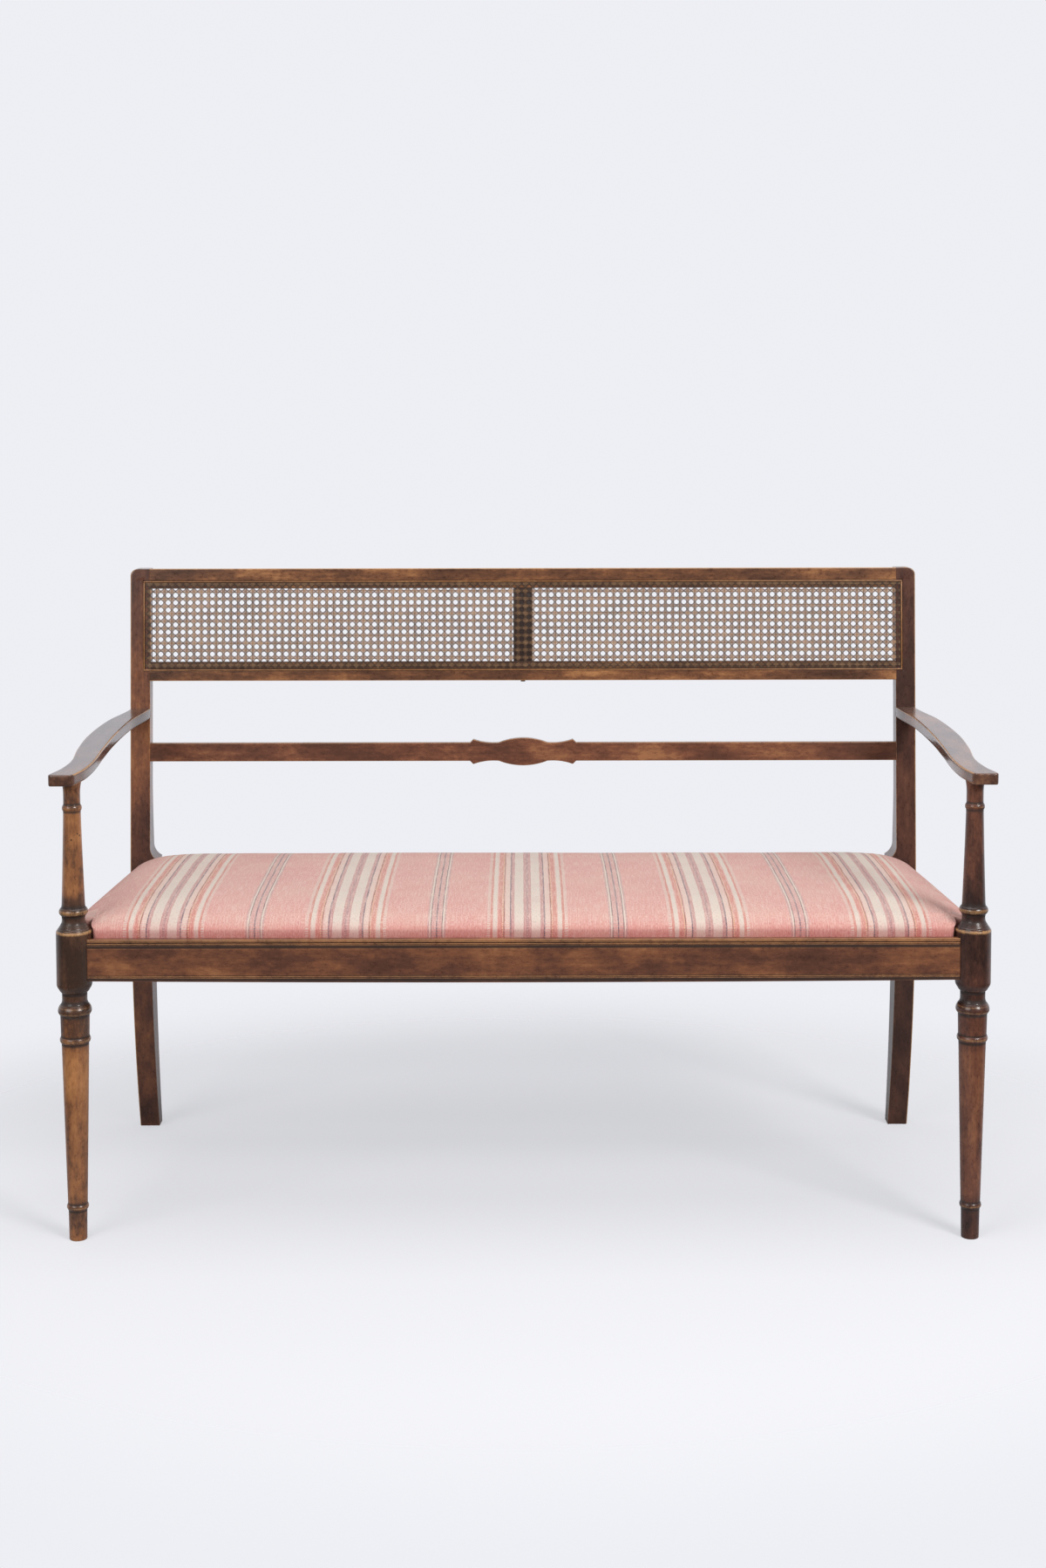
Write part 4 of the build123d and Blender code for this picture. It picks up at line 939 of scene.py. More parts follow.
@dataclass(frozen=True)
class BackPosts:
    """The two back posts: raked above the seat, a flared knee at the rails and sabre legs below."""

    sizes: Sizes = SIZES
    cove: float = 19.6
    cove_radius: float = 22.0
    knee_over: float = 40.0
    knee_under: float = 6.0
    blend: float = 150.0
    top_round: float = 10.5
    caned: Pair = (317.1, 459.6)
    groove_x: Pair = (593.6, 597.0)

    def side_lines(self, z: float) -> Pair:
        """Front and rear depth of the post at a height."""
        s = self.sizes
        knee_rear = s.post_face + s.knee_depth
        if z <= s.rail_bottom:
            kicked = s.post_face + s.foot_kick
            return self._sabre(z, s.post_face, kicked), self._sabre(z, knee_rear, kicked + s.foot_depth)
        if z <= s.rail_top:
            return s.post_face, knee_rear
        rise = z - s.rail_top
        lean = rise * math.tan(s.rake)
        deep = s.post_depth / math.cos(s.rake)
        t = min(1.0, rise / self.blend)
        ease = 1 - t * t * (3 - 2 * t)
        front = s.post_face + lean
        return front, front + deep + (s.knee_depth - deep) * ease - lean * ease * 0.55

    def _sabre(self, z: float, top_depth: float, foot_depth: float) -> float:
        """Depth on an arc that is upright at the rail and kicks back to the foot."""
        run, drop = foot_depth - top_depth, self.sizes.rail_bottom
        radius = (run * run + drop * drop) / (2 * run)
        down = drop - z
        return top_depth + radius - math.sqrt(radius * radius - down * down)

    def inner_x(self, z: float) -> float:
        """Inner face of the post, flared inwards round the seat rails."""
        s = self.sizes
        high, low = s.rail_top + self.knee_over, s.rail_bottom - self.knee_under - self.cove
        if z >= high or z <= low:
            return s.post_inner_x
        down, radius = min(high - z, z - low), self.cove_radius
        if down >= self.cove:
            return s.knee_x
        return s.post_inner_x - (radius - math.sqrt(max(0.0, radius * radius - down * down)))

    def stations(self) -> List[float]:
        """Heights of the cross-sections, close where the faces curve and where the caning begins."""
        s = self.sizes
        edges = {s.rail_top + (v + d) * math.cos(s.rake) for v in self.caned for d in (-0.1, 0.1)}
        return sorted(edges | {0.0, 1.0, 3.0, 362.0, 366.0, 395.0, 424.0, 760.0, 790.0, 820.0, 850.0}
                      | {i * 15.0 for i in range(1, 24)} | {334.4 + i * 2.0 for i in range(14)}
                      | {444.4 + i * 1.97 for i in range(11)} | {470.0 + i * 12.0 for i in range(22)}
                      | {889.0 + i for i in range(12)})

    def ring(self, z: float, side: Side) -> Ring:
        """Cross-section at a height, with the cane's groove and bed beside the cane."""
        s = self.sizes
        front, rear = self.side_lines(z)
        outer = s.back_outer_x - quarter(self.top_round, s.top - z)
        low, high = self.caned
        caned = low < (z - s.rail_top) / math.cos(s.rake) < high
        groove, bed = (s.cane_groove, s.cane_bed) if caned else (0.0, 0.0)
        inner = self.inner_x(z)
        mid, face = inner + 3.0, inner + 4.0
        if z > s.rail_top + 60:
            mid, face = max(self.groove_x[0], inner + 2.0), min(self.groove_x[1], outer - 4.0)
        # Painted shade under the cane and spline: their groove and bed get negative wear, which darkens them.
        dirt = -1.0 if caned else 0.0
        corners = [Corner(outer, front, 2.2), Corner(outer, rear, 2.6), Corner(inner, rear, 1.8),
                   Corner(inner, front + bed, 0.3 if caned else 0.9, 0.6),
                   Corner(mid, front + bed, 0.0, dirt * 0.4), Corner(mid, front + groove, 0.0, dirt),
                   Corner(face, front + groove, 0.0, dirt), Corner(face, front, 0.3, 0.5 if caned else 0.0)]
        return [(Vector((side.value * p.u, s.y(p.v), z)), p.wear) for p in rounded(corners)]

    def build(self) -> None:
        """Lofts both posts."""
        for side, look in ((Side.LEFT, WOOD_POST), (Side.RIGHT, DARK_WOOD_AND_SHADE)):
            piece = Piece(f"sabre_post_{side.word}", grain=2)
            piece.loft([self.ring(z, side) for z in self.stations()])
            piece.wood(look, f"back_post_{side.word}", (1.3 - side.value * 0.7, 0.5, 0.1))


# Seat rails


@dataclass(frozen=True)
class SeatRails:
    """Front, side and rear seat rails with their rebates.

    The front rail's lower edge sags by `bow` in the middle, up to `bow_height` above that edge.
    """

    sizes: Sizes = SIZES
    bow: float = 2.5
    bow_height: float = 6.0
    front_half: float = 599.4
    side_reach: Pair = (10.0, 418.0)
    coped: float = 30.0
    rear_thickness: float = 24.0

    def section(self, moulded: bool, thickness: float) -> List[RingPoint]:
        """Cross-section (depth from the outer face, height) of a rail with its rebate."""
        s = self.sizes
        top, low = s.rail_top, s.rail_bottom
        corners = [Corner(0, low, 1.6, 0.3)]
        if moulded:
            corners += [*self._face((low + 1.8, -0.7, 0.8), (low + 4.0, -0.7, 1.0)),
                        *self._groove(low + 4.6, 1.0, 0.7),
                        *self._face((low + 6.2, 0.8, 0.0)),
                        *self._groove(low + 6.8, 1.1, 1.0),
                        *self._face((low + 9.5, 0.0, 0.0), (top - 15.5, 0.0, 0.0), (top - 13.4, 0.5, 0.0),
                                    (top - 12.8, 0.5, 0.0), (top - 11.6, -0.62, 1.0), (top - 8.6, -0.75, 1.0)),
                        *self._groove(top - 7.9, 0.9, 1.2),
                        *self._face((top - 6.5, 1.0, 0.0), (top - 6.1, 1.0, 0.0)),
                        *self._groove(top - 5.5, 1.5, 2.2),
                        *self._face((top - 3.4, 1.0, 0.0), (top - 2.0, 1.0, 0.0))]
        corners += [Corner(0, top, 1.3 if moulded else 1.6, 1.0), Corner(s.lip, top, 0.8, 0.7),
                    Corner(s.lip, s.ledge, 0.2, -0.8), Corner(thickness, s.ledge, 0.6, 0.2),
                    Corner(thickness, low, 1.2, 0.4)]
        return rounded(corners, support=1.8)

    @staticmethod
    def _face(*rows: Tuple[float, float, float]) -> List[Corner]:
        """Places on the flat face: height, wear and how far it spreads."""
        return [Corner(0, z, 0.0, wear, spread) for z, wear, spread in rows]

    @staticmethod
    def _groove(z: float, width: float, depth: float) -> List[Corner]:
        """A scratched groove, rubbed on both edges and darker inside."""
        return [Corner(0, z, 0.35, 0.7), Corner(depth, z + 0.25, 0.1, -1.0),
                Corner(depth, z + width - 0.25, 0.1, -1.0), Corner(0, z + width, 0.35, 0.8)]

    def front_ring(self, x: float) -> Ring:
        """The moulded front rail at a place along it, its lower edge sagging in the middle."""
        s = self.sizes
        drop = self.bow * (1 - (x / self.front_half) ** 2)
        return [(Vector((x, s.y(p.u - s.rail_thickness / 2),
                         p.v - drop * held((s.rail_bottom + self.bow_height - p.v) / self.bow_height))), p.wear)
                for p in self.section(True, s.rail_thickness)]

    def side_ring(self, depth: float, side: Side) -> Ring:
        """A side rail at a depth, coped round the front post where it meets it."""
        s = self.sizes
        ring = []
        for p in self.section(False, s.rail_thickness):
            y = s.y(max(depth, self._cope(p.u)) if depth < self.coped else depth)
            ring.append((Vector((side.value * s.side_x(p.u, y), y, p.v)), p.wear))
        return ring

    def _cope(self, inset: float) -> float:
        """Depth at which a side rail's line meets the round block."""
        radius = self.sizes.block_radius
        return math.sqrt(max(0.0, radius ** 2 - (radius - inset) ** 2))

    def build(self) -> None:
        """Builds the four rails."""
        s = self.sizes
        front = Piece("moulded_front_rail", grain=0)
        front.loft([self.front_ring(x) for x in even(-self.front_half, self.front_half, 24)])
        front.wood(WOOD, "front_rail", (0.9, 0.33, 0.2))
        for side in Side:
            piece = Piece(f"plain_side_rail_{side.word}", grain=1)
            piece.loft([self.side_ring(depth, side) for depth in even(*self.side_reach, 12)])
            piece.wood(WOOD, f"side_rail_{side.word}", (2.1, 0.4 * side.value, 0.2))
        rear = Piece("plain_rear_rail", grain=0)
        plain = self.section(False, self.rear_thickness)
        rear.loft([[(Vector((x, s.y(s.post_face + s.knee_depth - p.u), p.v)), p.wear) for p in plain]
                   for x in even(-s.knee_x, s.knee_x, 12)])
        rear.wood(WOOD, "rear_rail", (0.1, 0.8, 0.6))


# Back frame


@dataclass(frozen=True)
class Bar:
    """A rail of the caned frame: its edge away from the cane, its edge under it and its outer roundings."""

    outer: float
    inner: float
    front_round: float
    rear_round: float


@dataclass(frozen=True)
class BackFrame:
    """Crest rail, lower rail, muntin and stay rail between the back posts.

    Distances up the back are counted from the top of the seat rail, depths from the front of the back.
    """

    sizes: Sizes = SIZES
    crest: Bar = Bar(478.0, 446.6, 1.8, 2.2)
    lower: Bar = Bar(301.6, 331.6, 1.6, 1.6)
    bed: Pair = (316.9, 459.1)
    groove_width: float = 3.4
    depth: float = 20.0
    into_post: float = 0.8
    muntin_half: float = 14.85
    stay_middle: float = 189.5
    stay_half: float = 14.5
    stay_depths: Pair = (1.5, 17.5)
    lens: Pair = (37.9, 7.2)
    ear: Pair = (78.2, 5.1)
    ear_tip: float = 83.5

    def rail_section(self, bar: Bar) -> List[RingPoint]:
        """Cross-section (distance up, depth) of a rail with the cane's groove and bed on its inner edge."""
        s = self.sizes
        down = bar.inner < bar.outer
        line = self.bed[1] if down else self.bed[0]
        step = -1.0 if down else 1.0
        inside = line + step * self.groove_width
        # Painted shade under the cane: the groove and bed get negative wear, which darkens them.
        return rounded([
            Corner(bar.outer, 0, bar.front_round), Corner(line, 0, 0.3, 0.5),
            Corner(line, s.cane_groove, 0.0, -1.0), Corner(inside, s.cane_groove, 0.0, -1.0),
            Corner(inside, s.cane_bed, 0.2, -1.0), Corner(line + step * 7.0, s.cane_bed, 0.0, -0.8),
            Corner(bar.inner, s.cane_bed, 0.3, -0.5), Corner(bar.inner, self.depth, 1.2),
            Corner(bar.outer, self.depth, bar.rear_round)])

    def rail(self, name: str, bar: Bar, node: str, seed: Sequence[float]) -> None:
        """One rail along the whole width between the posts."""
        piece = Piece(name, self.sizes.back_matrix(), grain=0)
        half = self.sizes.post_inner_x + self.into_post
        piece.loft([crosswise(self.rail_section(bar), x) for x in even(-half, half, 12)])
        piece.wood(WOOD_BACK, node, seed)

    def stay_half_height(self, x: float) -> float:
        """Half height of the stay rail at a distance from its middle: a lens, an ear and the plain bar."""
        x = abs(x)
        (half_lens, bulge), (ear, swell) = self.lens, self.ear
        if x <= half_lens:
            radius = (half_lens ** 2 + bulge ** 2) / (2 * bulge)
            return self.stay_half + math.sqrt(radius * radius - x * x) - (radius - bulge)
        if x <= ear:
            t = (x - half_lens) / (ear - half_lens)
            return self.stay_half + swell * t ** 2.2 - 3.2 * t * (1 - t)
        return self.stay_half + swell * held((self.ear_tip - x) / (self.ear_tip - ear))

    def stay_rail(self) -> None:
        """The stay rail, its tablet cut from the same board."""
        piece = Piece("fretted_stay_rail", self.sizes.back_matrix(), grain=0)
        half, middle = self.sizes.post_inner_x, self.stay_middle
        places = {half, 37.7, 38.1, 78.0, 78.4, 83.5, 83.8, *(i * 2.5 for i in range(1, 34)),
                  *(100.0 + i * 60.0 for i in range(9))}
        front, rear = self.stay_depths
        rings = []
        for x in sorted({0.0, *places, *(-x for x in places)}):
            h = self.stay_half_height(x)
            arris = 1.6 if abs(x) < 84 else 1.8
            rings.append(crosswise(rounded([
                Corner(middle + h, front, arris), Corner(middle - h, front, arris),
                Corner(middle - h, rear, 1.4), Corner(middle + h, rear, 1.4)]), x))
        piece.loft(rings)
        piece.wood(WOOD_STAY, "stay_rail", (3.0, 0.4, 0.3))

    def muntin(self) -> None:
        """The upright behind the cane and the end of its tenon below the lower rail."""
        piece = Piece("muntin_behind_cane", self.sizes.back_matrix(), grain=1)
        half, base = self.muntin_half, self.lower.outer
        piece.box((-half, self.lower.inner - 0.4, 2.0), (half, self.crest.inner + 0.4, 15.8), 0.8)
        piece.box((-3.5, base - 2.2, 9.0), (3.5, base + 3.0, 15.0), 0.3)
        # Painted shade behind the cane: the whole muntin gets negative wear and the darkest wood.
        piece.rub(-0.55)
        piece.wood(DARK_WOOD_AND_SHADE, "cane_muntin", (0.2, 1.1, 0.4))

    def build(self) -> None:
        """Builds every bar of the back."""
        self.rail("caned_crest_rail", self.crest, "crest_rail", (0.5, 0.2, 0.9))
        self.rail("caned_lower_rail", self.lower, "lower_cane_rail", (1.9, 0.6, 0.3))
        self.muntin()
        self.stay_rail()


# Cane


@dataclass(frozen=True)
class Strand:
    """One kind of cane strand: its width, how deep its front lies, its thickness and how bright it is."""

    width: float
    front: float
    thick: float
    tone: float


@dataclass(frozen=True)
class CaneWork:
    """The woven cane in its groove and the reed spline that holds it."""

    sizes: Sizes = SIZES
    pitch: float = 11.58
    phase_x: float = -1.7
    phase_v: float = 436.2
    half_width: float = 593.4
    low: float = 320.4
    high: float = 455.6
    pair_step: float = 2.05
    upright: Strand = Strand(1.55, 0.75, 0.5, 0.56)
    level: Strand = Strand(1.55, 0.45, 0.5, 0.66)
    falling: Strand = Strand(1.1, 0.3, 0.55, 0.16)
    rising: Strand = Strand(1.1, 0.2, 0.55, 0.16)
    spline_x: float = 596.4
    spline_rows: Pair = (317.6, 458.4)
    spline_depths: Pair = (-0.5, 4.6)
    reed: float = 2.0

    def strip(self, piece: Piece, a: Vector, b: Vector, kind: Strand) -> None:
        """Adds one flat strand between two points of the back."""
        span = b - a
        middle = (a + b) / 2
        place = (Matrix.Translation((middle.x, middle.y, kind.front + kind.thick / 2))
                 @ Matrix.Rotation(math.atan2(span.y, span.x), 4, "Z")
                 @ Matrix.Diagonal((span.length, kind.width, kind.thick, 1.0)))
        for vert in bmesh.ops.create_cube(piece.bm, size=1.0, matrix=place)["verts"]:
            vert[piece.wear] = kind.tone

    def clipped(self, origin: Vector, direction: Vector) -> Optional[Tuple[Vector, Vector]]:
        """The part of a line that lies inside the sheet."""
        t0, t1 = -1e9, 1e9
        for axis, low, high in ((0, -self.half_width, self.half_width), (1, self.low, self.high)):
            if abs(direction[axis]) < 1e-9:
                if not low <= origin[axis] <= high:
                    return None
                continue
            a, b = (low - origin[axis]) / direction[axis], (high - origin[axis]) / direction[axis]
            t0, t1 = max(t0, min(a, b)), min(t1, max(a, b))
        if t1 - t0 < 2.0:
            return None
        return origin + direction * t0, origin + direction * t1

    def lines(self) -> Iterator[Tuple[Vector, Vector, Strand]]:
        """Origin, direction and kind of every strand: upright pairs, level pairs, then both diagonals."""
        p = self.pitch
        start_x, start_v = self.phase_x + p / 2, self.phase_v + p / 2
        columns = range(math.floor((-self.half_width - start_x) / p),
                        math.ceil((self.half_width - start_x) / p) + 1)
        rows = range(math.floor((self.low - start_v) / p), math.ceil((self.high - start_v) / p) + 1)
        pair = (-0.5 * self.pair_step, 0.5 * self.pair_step)
        for j in columns:
            for shift in pair:
                yield Vector((start_x + j * p + shift, 0)), Vector((0, 1)), self.upright
        for i in rows:
            for shift in pair:
                yield Vector((0, start_v + i * p + shift)), Vector((1, 0)), self.level
        for d in range(columns[0] - len(rows) - 2, columns[-1] + len(rows) + 2):
            origin = Vector((start_x + (d + 0.5) * p, start_v + rows[0] * p))
            for sign, kind in ((-1, self.falling), (1, self.rising)):
                yield origin, Vector((sign, 1)).normalized(), kind

    def build(self) -> None:
        """Weaves the sheet and lays the spline."""
        piece = Piece("six_way_cane", self.sizes.back_matrix(), grain=0)
        for origin, direction, kind in self.lines():
            line = self.clipped(origin, direction)
            if line:
                self.strip(piece, *line, kind)
        piece.finish(CANE, Body.FRAME, Slot.CANE, ["cane_sheet"], sharp=30)
        self.spline()

    def spline(self) -> None:
        """Four lengths of reed in the groove, the upright ones a little short of the level ones."""
        x, (low, high), (front, rear), reed = self.spline_x, self.spline_rows, self.spline_depths, self.reed
        under, over = low + reed + 0.1, high - reed - 0.1
        for word, grain, left, bottom, right, top in (
                ("top", 0, -x, high - reed, x, high), ("bottom", 0, -x, low, x, low + reed),
                ("left", 1, -x, under, -x + reed, over), ("right", 1, x - reed, under, x, over)):
            piece = Piece(f"reed_spline_{word}", self.sizes.back_matrix(), grain=grain)
            piece.box((left, bottom, front), (right, top, rear), 0.6)
            piece.rub(0.55)
            piece.finish(REED, Body.FRAME, Slot.SPLINE, [f"spline_{word}"])


# Arms


@dataclass(frozen=True)
class ArmStation:
    """One station of the arm: share of its length, sideways throw and width, as shares of the largest."""

    share: float
    throw: float
    width: float


@dataclass(frozen=True)
class Arms:
    """The two arms: sloping boards, ogee in plan, that widen over the front posts."""

    sizes: Sizes = SIZES
    thickness: float = 16.0
    at_post: float = 681.6
    at_nose: float = 654.5
    nose_reach: float = 28.0
    nose_out: float = 9.5
    nose_round: float = 8.0
    nose_edge: float = 2.4
    throw: float = 11.0
    width: float = 40.0
    stations: Tuple[ArmStation, ...] = (
        ArmStation(0.0, 0.0, 0.775),
        ArmStation(0.20, 0.97, 0.90),
        ArmStation(0.44, 0.95, 0.99),
        ArmStation(0.64, 0.23, 0.94),
        ArmStation(0.80, -0.59, 0.825),
        ArmStation(0.914, -0.54, 0.86),
        ArmStation(1.0, 0.10, 0.90),
    )

    def _smooth(self, share: float, values: Sequence[float], end_ease: float) -> float:
        """Value at a share of the arm on a smooth curve through the stations."""
        shares = [station.share for station in self.stations]
        last = len(shares) - 1
        index = max(i for i in range(last) if shares[i] <= share + 1e-9)
        step = shares[index + 1] - shares[index]

        def slope(i: int) -> float:
            if i == 0:
                return 0.0
            low, high, ease = (i - 1, i, end_ease) if i == last else (i - 1, i + 1, 1.0)
            return (values[high] - values[low]) / (shares[high] - shares[low]) * ease

        return hermite(values[index], values[index + 1], slope(index) * step, slope(index + 1) * step,
                       (share - shares[index]) / step)

    def centre_and_width(self, share: float) -> Pair:
        """Middle and width of the arm at a share of its length."""
        s = self.sizes
        base = s.back_outer_x - s.post_width / 2
        line = base + (s.front_axis_x + self.nose_out - base) * share
        throw = self._smooth(share, [station.throw for station in self.stations], 0.5)
        width = self._smooth(share, [station.width for station in self.stations], 0.0)
        return line + self.throw * throw, self.width * width

    def section(self, share: float, left: float, sunk: bool) -> List[RingPoint]:
        """Cross-section (across, up) of the arm.

        Args:
            share: share of the arm's length.
            left: distance to the end of the nose.
            sunk: whether this is the drawn-in rim of the nose's end face.
        """
        centre, width = self.centre_and_width(share)
        inside = 2.0 if sunk else 0.0
        half = width / 2 - quarter(self.nose_round, left) - inside
        edge = quarter(self.nose_edge, left) + inside
        arris = 2.6 if left > 3.2 else 1.8
        bare = 0.9 if share > 0.35 else 0.5
        bare = 0.0 if sunk else (0.3 if left < 5.0 else bare)
        corners = [Corner(centre + across * half, up, arris, bare) for across, up in (
            (1, -edge), (-1, -edge), (-1, edge - self.thickness), (1, edge - self.thickness))]
        return rounded(corners, 4)

    def build(self) -> None:
        """Lofts both arms along the slope."""
        s = self.sizes
        face = s.y(s.post_face) + (self.at_post - s.rail_top) * math.tan(s.rake)
        run, fall = face - s.y(-self.nose_reach), self.at_post - self.at_nose
        length = math.hypot(run, fall)
        back = Vector((0, run / length, fall / length))
        up = Vector((0, -fall / length, run / length))
        nose = (12.0, 9.0, 7.5, 6.0, 4.6, 3.4, 2.4, 1.5, 0.8, 0.3, 0.0, 0.0)
        shares = [-0.004, *(i / 60 for i in range(58)), *(1.0 - left / length for left in nose)]
        for side in Side:
            piece = Piece(f"ogee_arm_{side.word}", grain=1)
            rings = []
            for index, share in enumerate(shares):
                inside = max(0.0, share)
                origin = Vector((0, face, self.at_post)) - back * (share * length)
                ring = []
                for q in self.section(inside, (1.0 - inside) * length, index == len(shares) - 1):
                    place = origin + up * q.v
                    ring.append((Vector((side.value * q.u, place.y, place.z)), q.wear))
                rings.append(ring)
            piece.loft(rings)
            piece.wood(WOOD_ARM, f"arm_{side.word}", (0.4 * side.value + 2.2, 0.7, 0.3))


# Seat cover


@dataclass(frozen=True)
class SeatCover:
    """The striped cover drawn over the crowned stuffing, notched round the four posts."""

    sizes: Sizes = SIZES
    gap: float = 1.5
    notch: float = 2.0
    base: float = 412.3
    edge_rise: float = 11.0
    crown_rise: float = 38.5
    crown_inset: float = 200.0
    tuck: float = 3.5
    corner_round: float = 5.5
    grid: float = 9.0
    closest: float = 0.45
    cloth_half: float = 598.0
    fine: Tuple[float, ...] = (0.5, 1.3, 2.3, 3.6, 5.2, 7.5, 10.5, 14.5, 19.5, 26.0)
    rises: Tuple[Pair, ...] = ((0.0, 0.08), (0.02, 0.31), (0.07, 0.59), (0.20, 0.885), (0.50, 1.0),
                               (0.80, 0.925), (0.93, 0.71), (0.98, 0.37), (1.0, 0.08))

    def side_x(self, y: float) -> float:
        """Side edge of the seat at a world depth in millimetres."""
        return self.sizes.side_x(self.sizes.lip + self.gap, y)

    @property
    def front(self) -> float:
        """Front edge in world millimetres."""
        return self.sizes.y(-self.sizes.rail_thickness / 2 + self.sizes.lip + self.gap)

    @property
    def rear(self) -> float:
        """Rear edge in world millimetres."""
        return self.sizes.y(self.sizes.post_face + self.sizes.knee_depth - self.sizes.lip - self.gap)

    @property
    def notches(self) -> Tuple[Pair, Pair]:
        """Inner corners of the front and rear notches on the right."""
        s = self.sizes
        return ((s.front_axis_x - s.block_radius - self.notch, s.y(s.block_radius + self.notch)),
                (s.knee_x - self.notch, s.y(s.post_face - self.notch)))

    def inset(self, x: float, y: float) -> float:
        """Distance of a place inside the nearest of the front, rear and side edges."""
        return min(y - self.front, self.rear - y, self.side_x(y) - abs(x))

    def rise(self, y: float) -> float:
        """Share of the crown at a depth, on a smooth curve through the rises."""
        rows = self.rises
        share = held((y - self.front) / (self.rear - self.front))
        index = max(i for i in range(len(rows) - 1) if rows[i][0] <= share)
        a, b = rows[index], rows[index + 1]
        step = b[0] - a[0]

        def slope(i: int) -> float:
            low, high = max(0, i - 1), min(len(rows) - 1, i + 1)
            return (rows[high][1] - rows[low][1]) / (rows[high][0] - rows[low][0])

        return hermite(a[1], b[1], slope(index) * step, slope(index + 1) * step, (share - a[0]) / step)

    def height(self, x: float, y: float) -> float:
        """Height of the cover above the rails at a place of the plan."""
        inset = max(0.0, self.side_x(y) - abs(x))
        across = 1 - (1 - min(1.0, inset / self.crown_inset)) ** 6.7
        top = self.edge_rise + (self.crown_rise - self.edge_rise) * self.rise(y) * across
        (front_x, front_y), (rear_x, rear_y) = self.notches
        near = min(math.hypot(max(0.0, front_x - abs(x)), max(0.0, y - front_y)),
                   math.hypot(max(0.0, rear_x - abs(x)), max(0.0, rear_y - y)))
        return top - quarter(self.tuck, near)

    def columns(self) -> Tuple[List[float], List[float]]:
        """Distances of the grid's columns from the middle, then shares of the way out beyond the notch."""
        front_x, rear_x = self.notches[0][0], self.notches[1][0]
        every = sorted({i * self.grid for i in range(1, 60)} | {rear_x, front_x}
                       | {edge - d for edge in (rear_x, front_x) for d in self.fine})
        inner = [x for i, x in enumerate(every)
                 if i == 0 or x - every[i - 1] > self.closest or x in (rear_x, front_x)]
        return inner, [1 - (1 - i / 13) ** 1.8 for i in range(1, 14)]

    def depths(self) -> List[float]:
        """World depths of the grid's rows, close beside the edges and the notches."""
        (_, front_y), (_, rear_y) = self.notches
        near = (0.0, *self.fine)
        every = sorted({edge + d for edge in (self.front, front_y) for d in near}
                       | {edge - d for edge in (rear_y, self.rear) for d in near}
                       | {self.front + 34 + i * self.grid for i in range(43)})
        rows: List[float] = []
        for y in every:
            if not rows or y - rows[-1] > self.closest:
                rows.append(y)
            elif y in (front_y, rear_y, self.rear):
                rows[-1] = y
        return rows

    def build(self) -> None:
        """Shapes a grid to the notched plan, crowns it, then drops the sides and turns them under."""
        (front_x, front_y), (rear_x, rear_y) = self.notches
        (inner, beyond), depths = self.columns(), self.depths()
        half, deep = len(inner) + len(beyond), len(depths) - 1
        lengths = [0.0]
        for a, b in zip(depths, depths[1:]):
            lengths.append(lengths[-1] + math.hypot(b - a, self.height(0, b) - self.height(0, a)))
        piece = Piece("crowned_cover", grain=1)
        bm = piece.bm
        weave = bm.verts.layers.float_vector.new("weave")
        bmesh.ops.create_grid(bm, x_segments=2 * half, y_segments=deep, size=1.0)
        for vert in bm.verts:
            column = round((vert.co.x + 1) * half) - half
            row = round((vert.co.y + 1) / 2 * deep)
            y = depths[row]
            x, index = 0.0, abs(column) - 1
            if index >= len(inner):
                x = front_x + beyond[index - len(inner)] * (self.side_x(y) - front_x)
            elif index >= 0:
                x = inner[index]
            x = math.copysign(x, column)
            vert.co = (x, y, self.sizes.rail_top + self.height(x, y))
            vert[weave] = Vector((held(x, -self.cloth_half, self.cloth_half), lengths[row], 0)) * MM
        gone = []
        for face in bm.faces:
            x, y, _ = face.calc_center_median()
            if (abs(x) > front_x and y < front_y) or (abs(x) > rear_x and y > rear_y):
                gone.append(face)
        bmesh.ops.delete(bm, geom=gone, context="FACES")
        self.drape(piece)
        self.sides(piece, weave)
        self.soften(piece)
        obj = piece.finish(FABRIC, Body.SEAT, Slot.FABRIC, ["seat_cover", "seat_stuffing"], sharp=70)

    def drape(self, piece: Piece) -> None:
        """Small unevenness of old stuffing, and the pull of the cloth into the front corners."""
        front_x, front_y = self.notches[0]
        for vert in piece.bm.verts:
            x, y, z = vert.co
            inset = self.inset(x, y)
            z -= 2.2 * max(0.0, 1 - inset / 3.5) ** 2
            lump = (mnoise.noise(Vector((x * 0.006, y * 0.008, 1.7))) * 1.2
                    + mnoise.noise(Vector((x * 0.021, y * 0.021, 4.1))) * 0.35)
            dx, dy = front_x - abs(x), y - front_y
            reach = math.hypot(max(0.0, dx), max(0.0, dy))
            pull = math.cos(math.atan2(dy, dx) * 7.0) * 1.1 * math.exp(-((reach - 15.0) / 14.0) ** 2)
            vert.co.z = z + max(-0.4, lump + 0.5) * held(inset / 30.0) + max(-0.2, pull) * held(inset / 8.0)
            lean = max(0.0, 1 - reach / 13.0) * held((z - self.sizes.rail_top - 11.0) / 7.0) * 4.6
            if abs(x) > front_x - 13.0 and y < front_y + 13.0:
                vert.co.x = x + math.copysign(lean if y < front_y + 1.0 else 0.0, x)
                vert.co.y = y - (lean if abs(x) > front_x - 1.0 else 0.0)

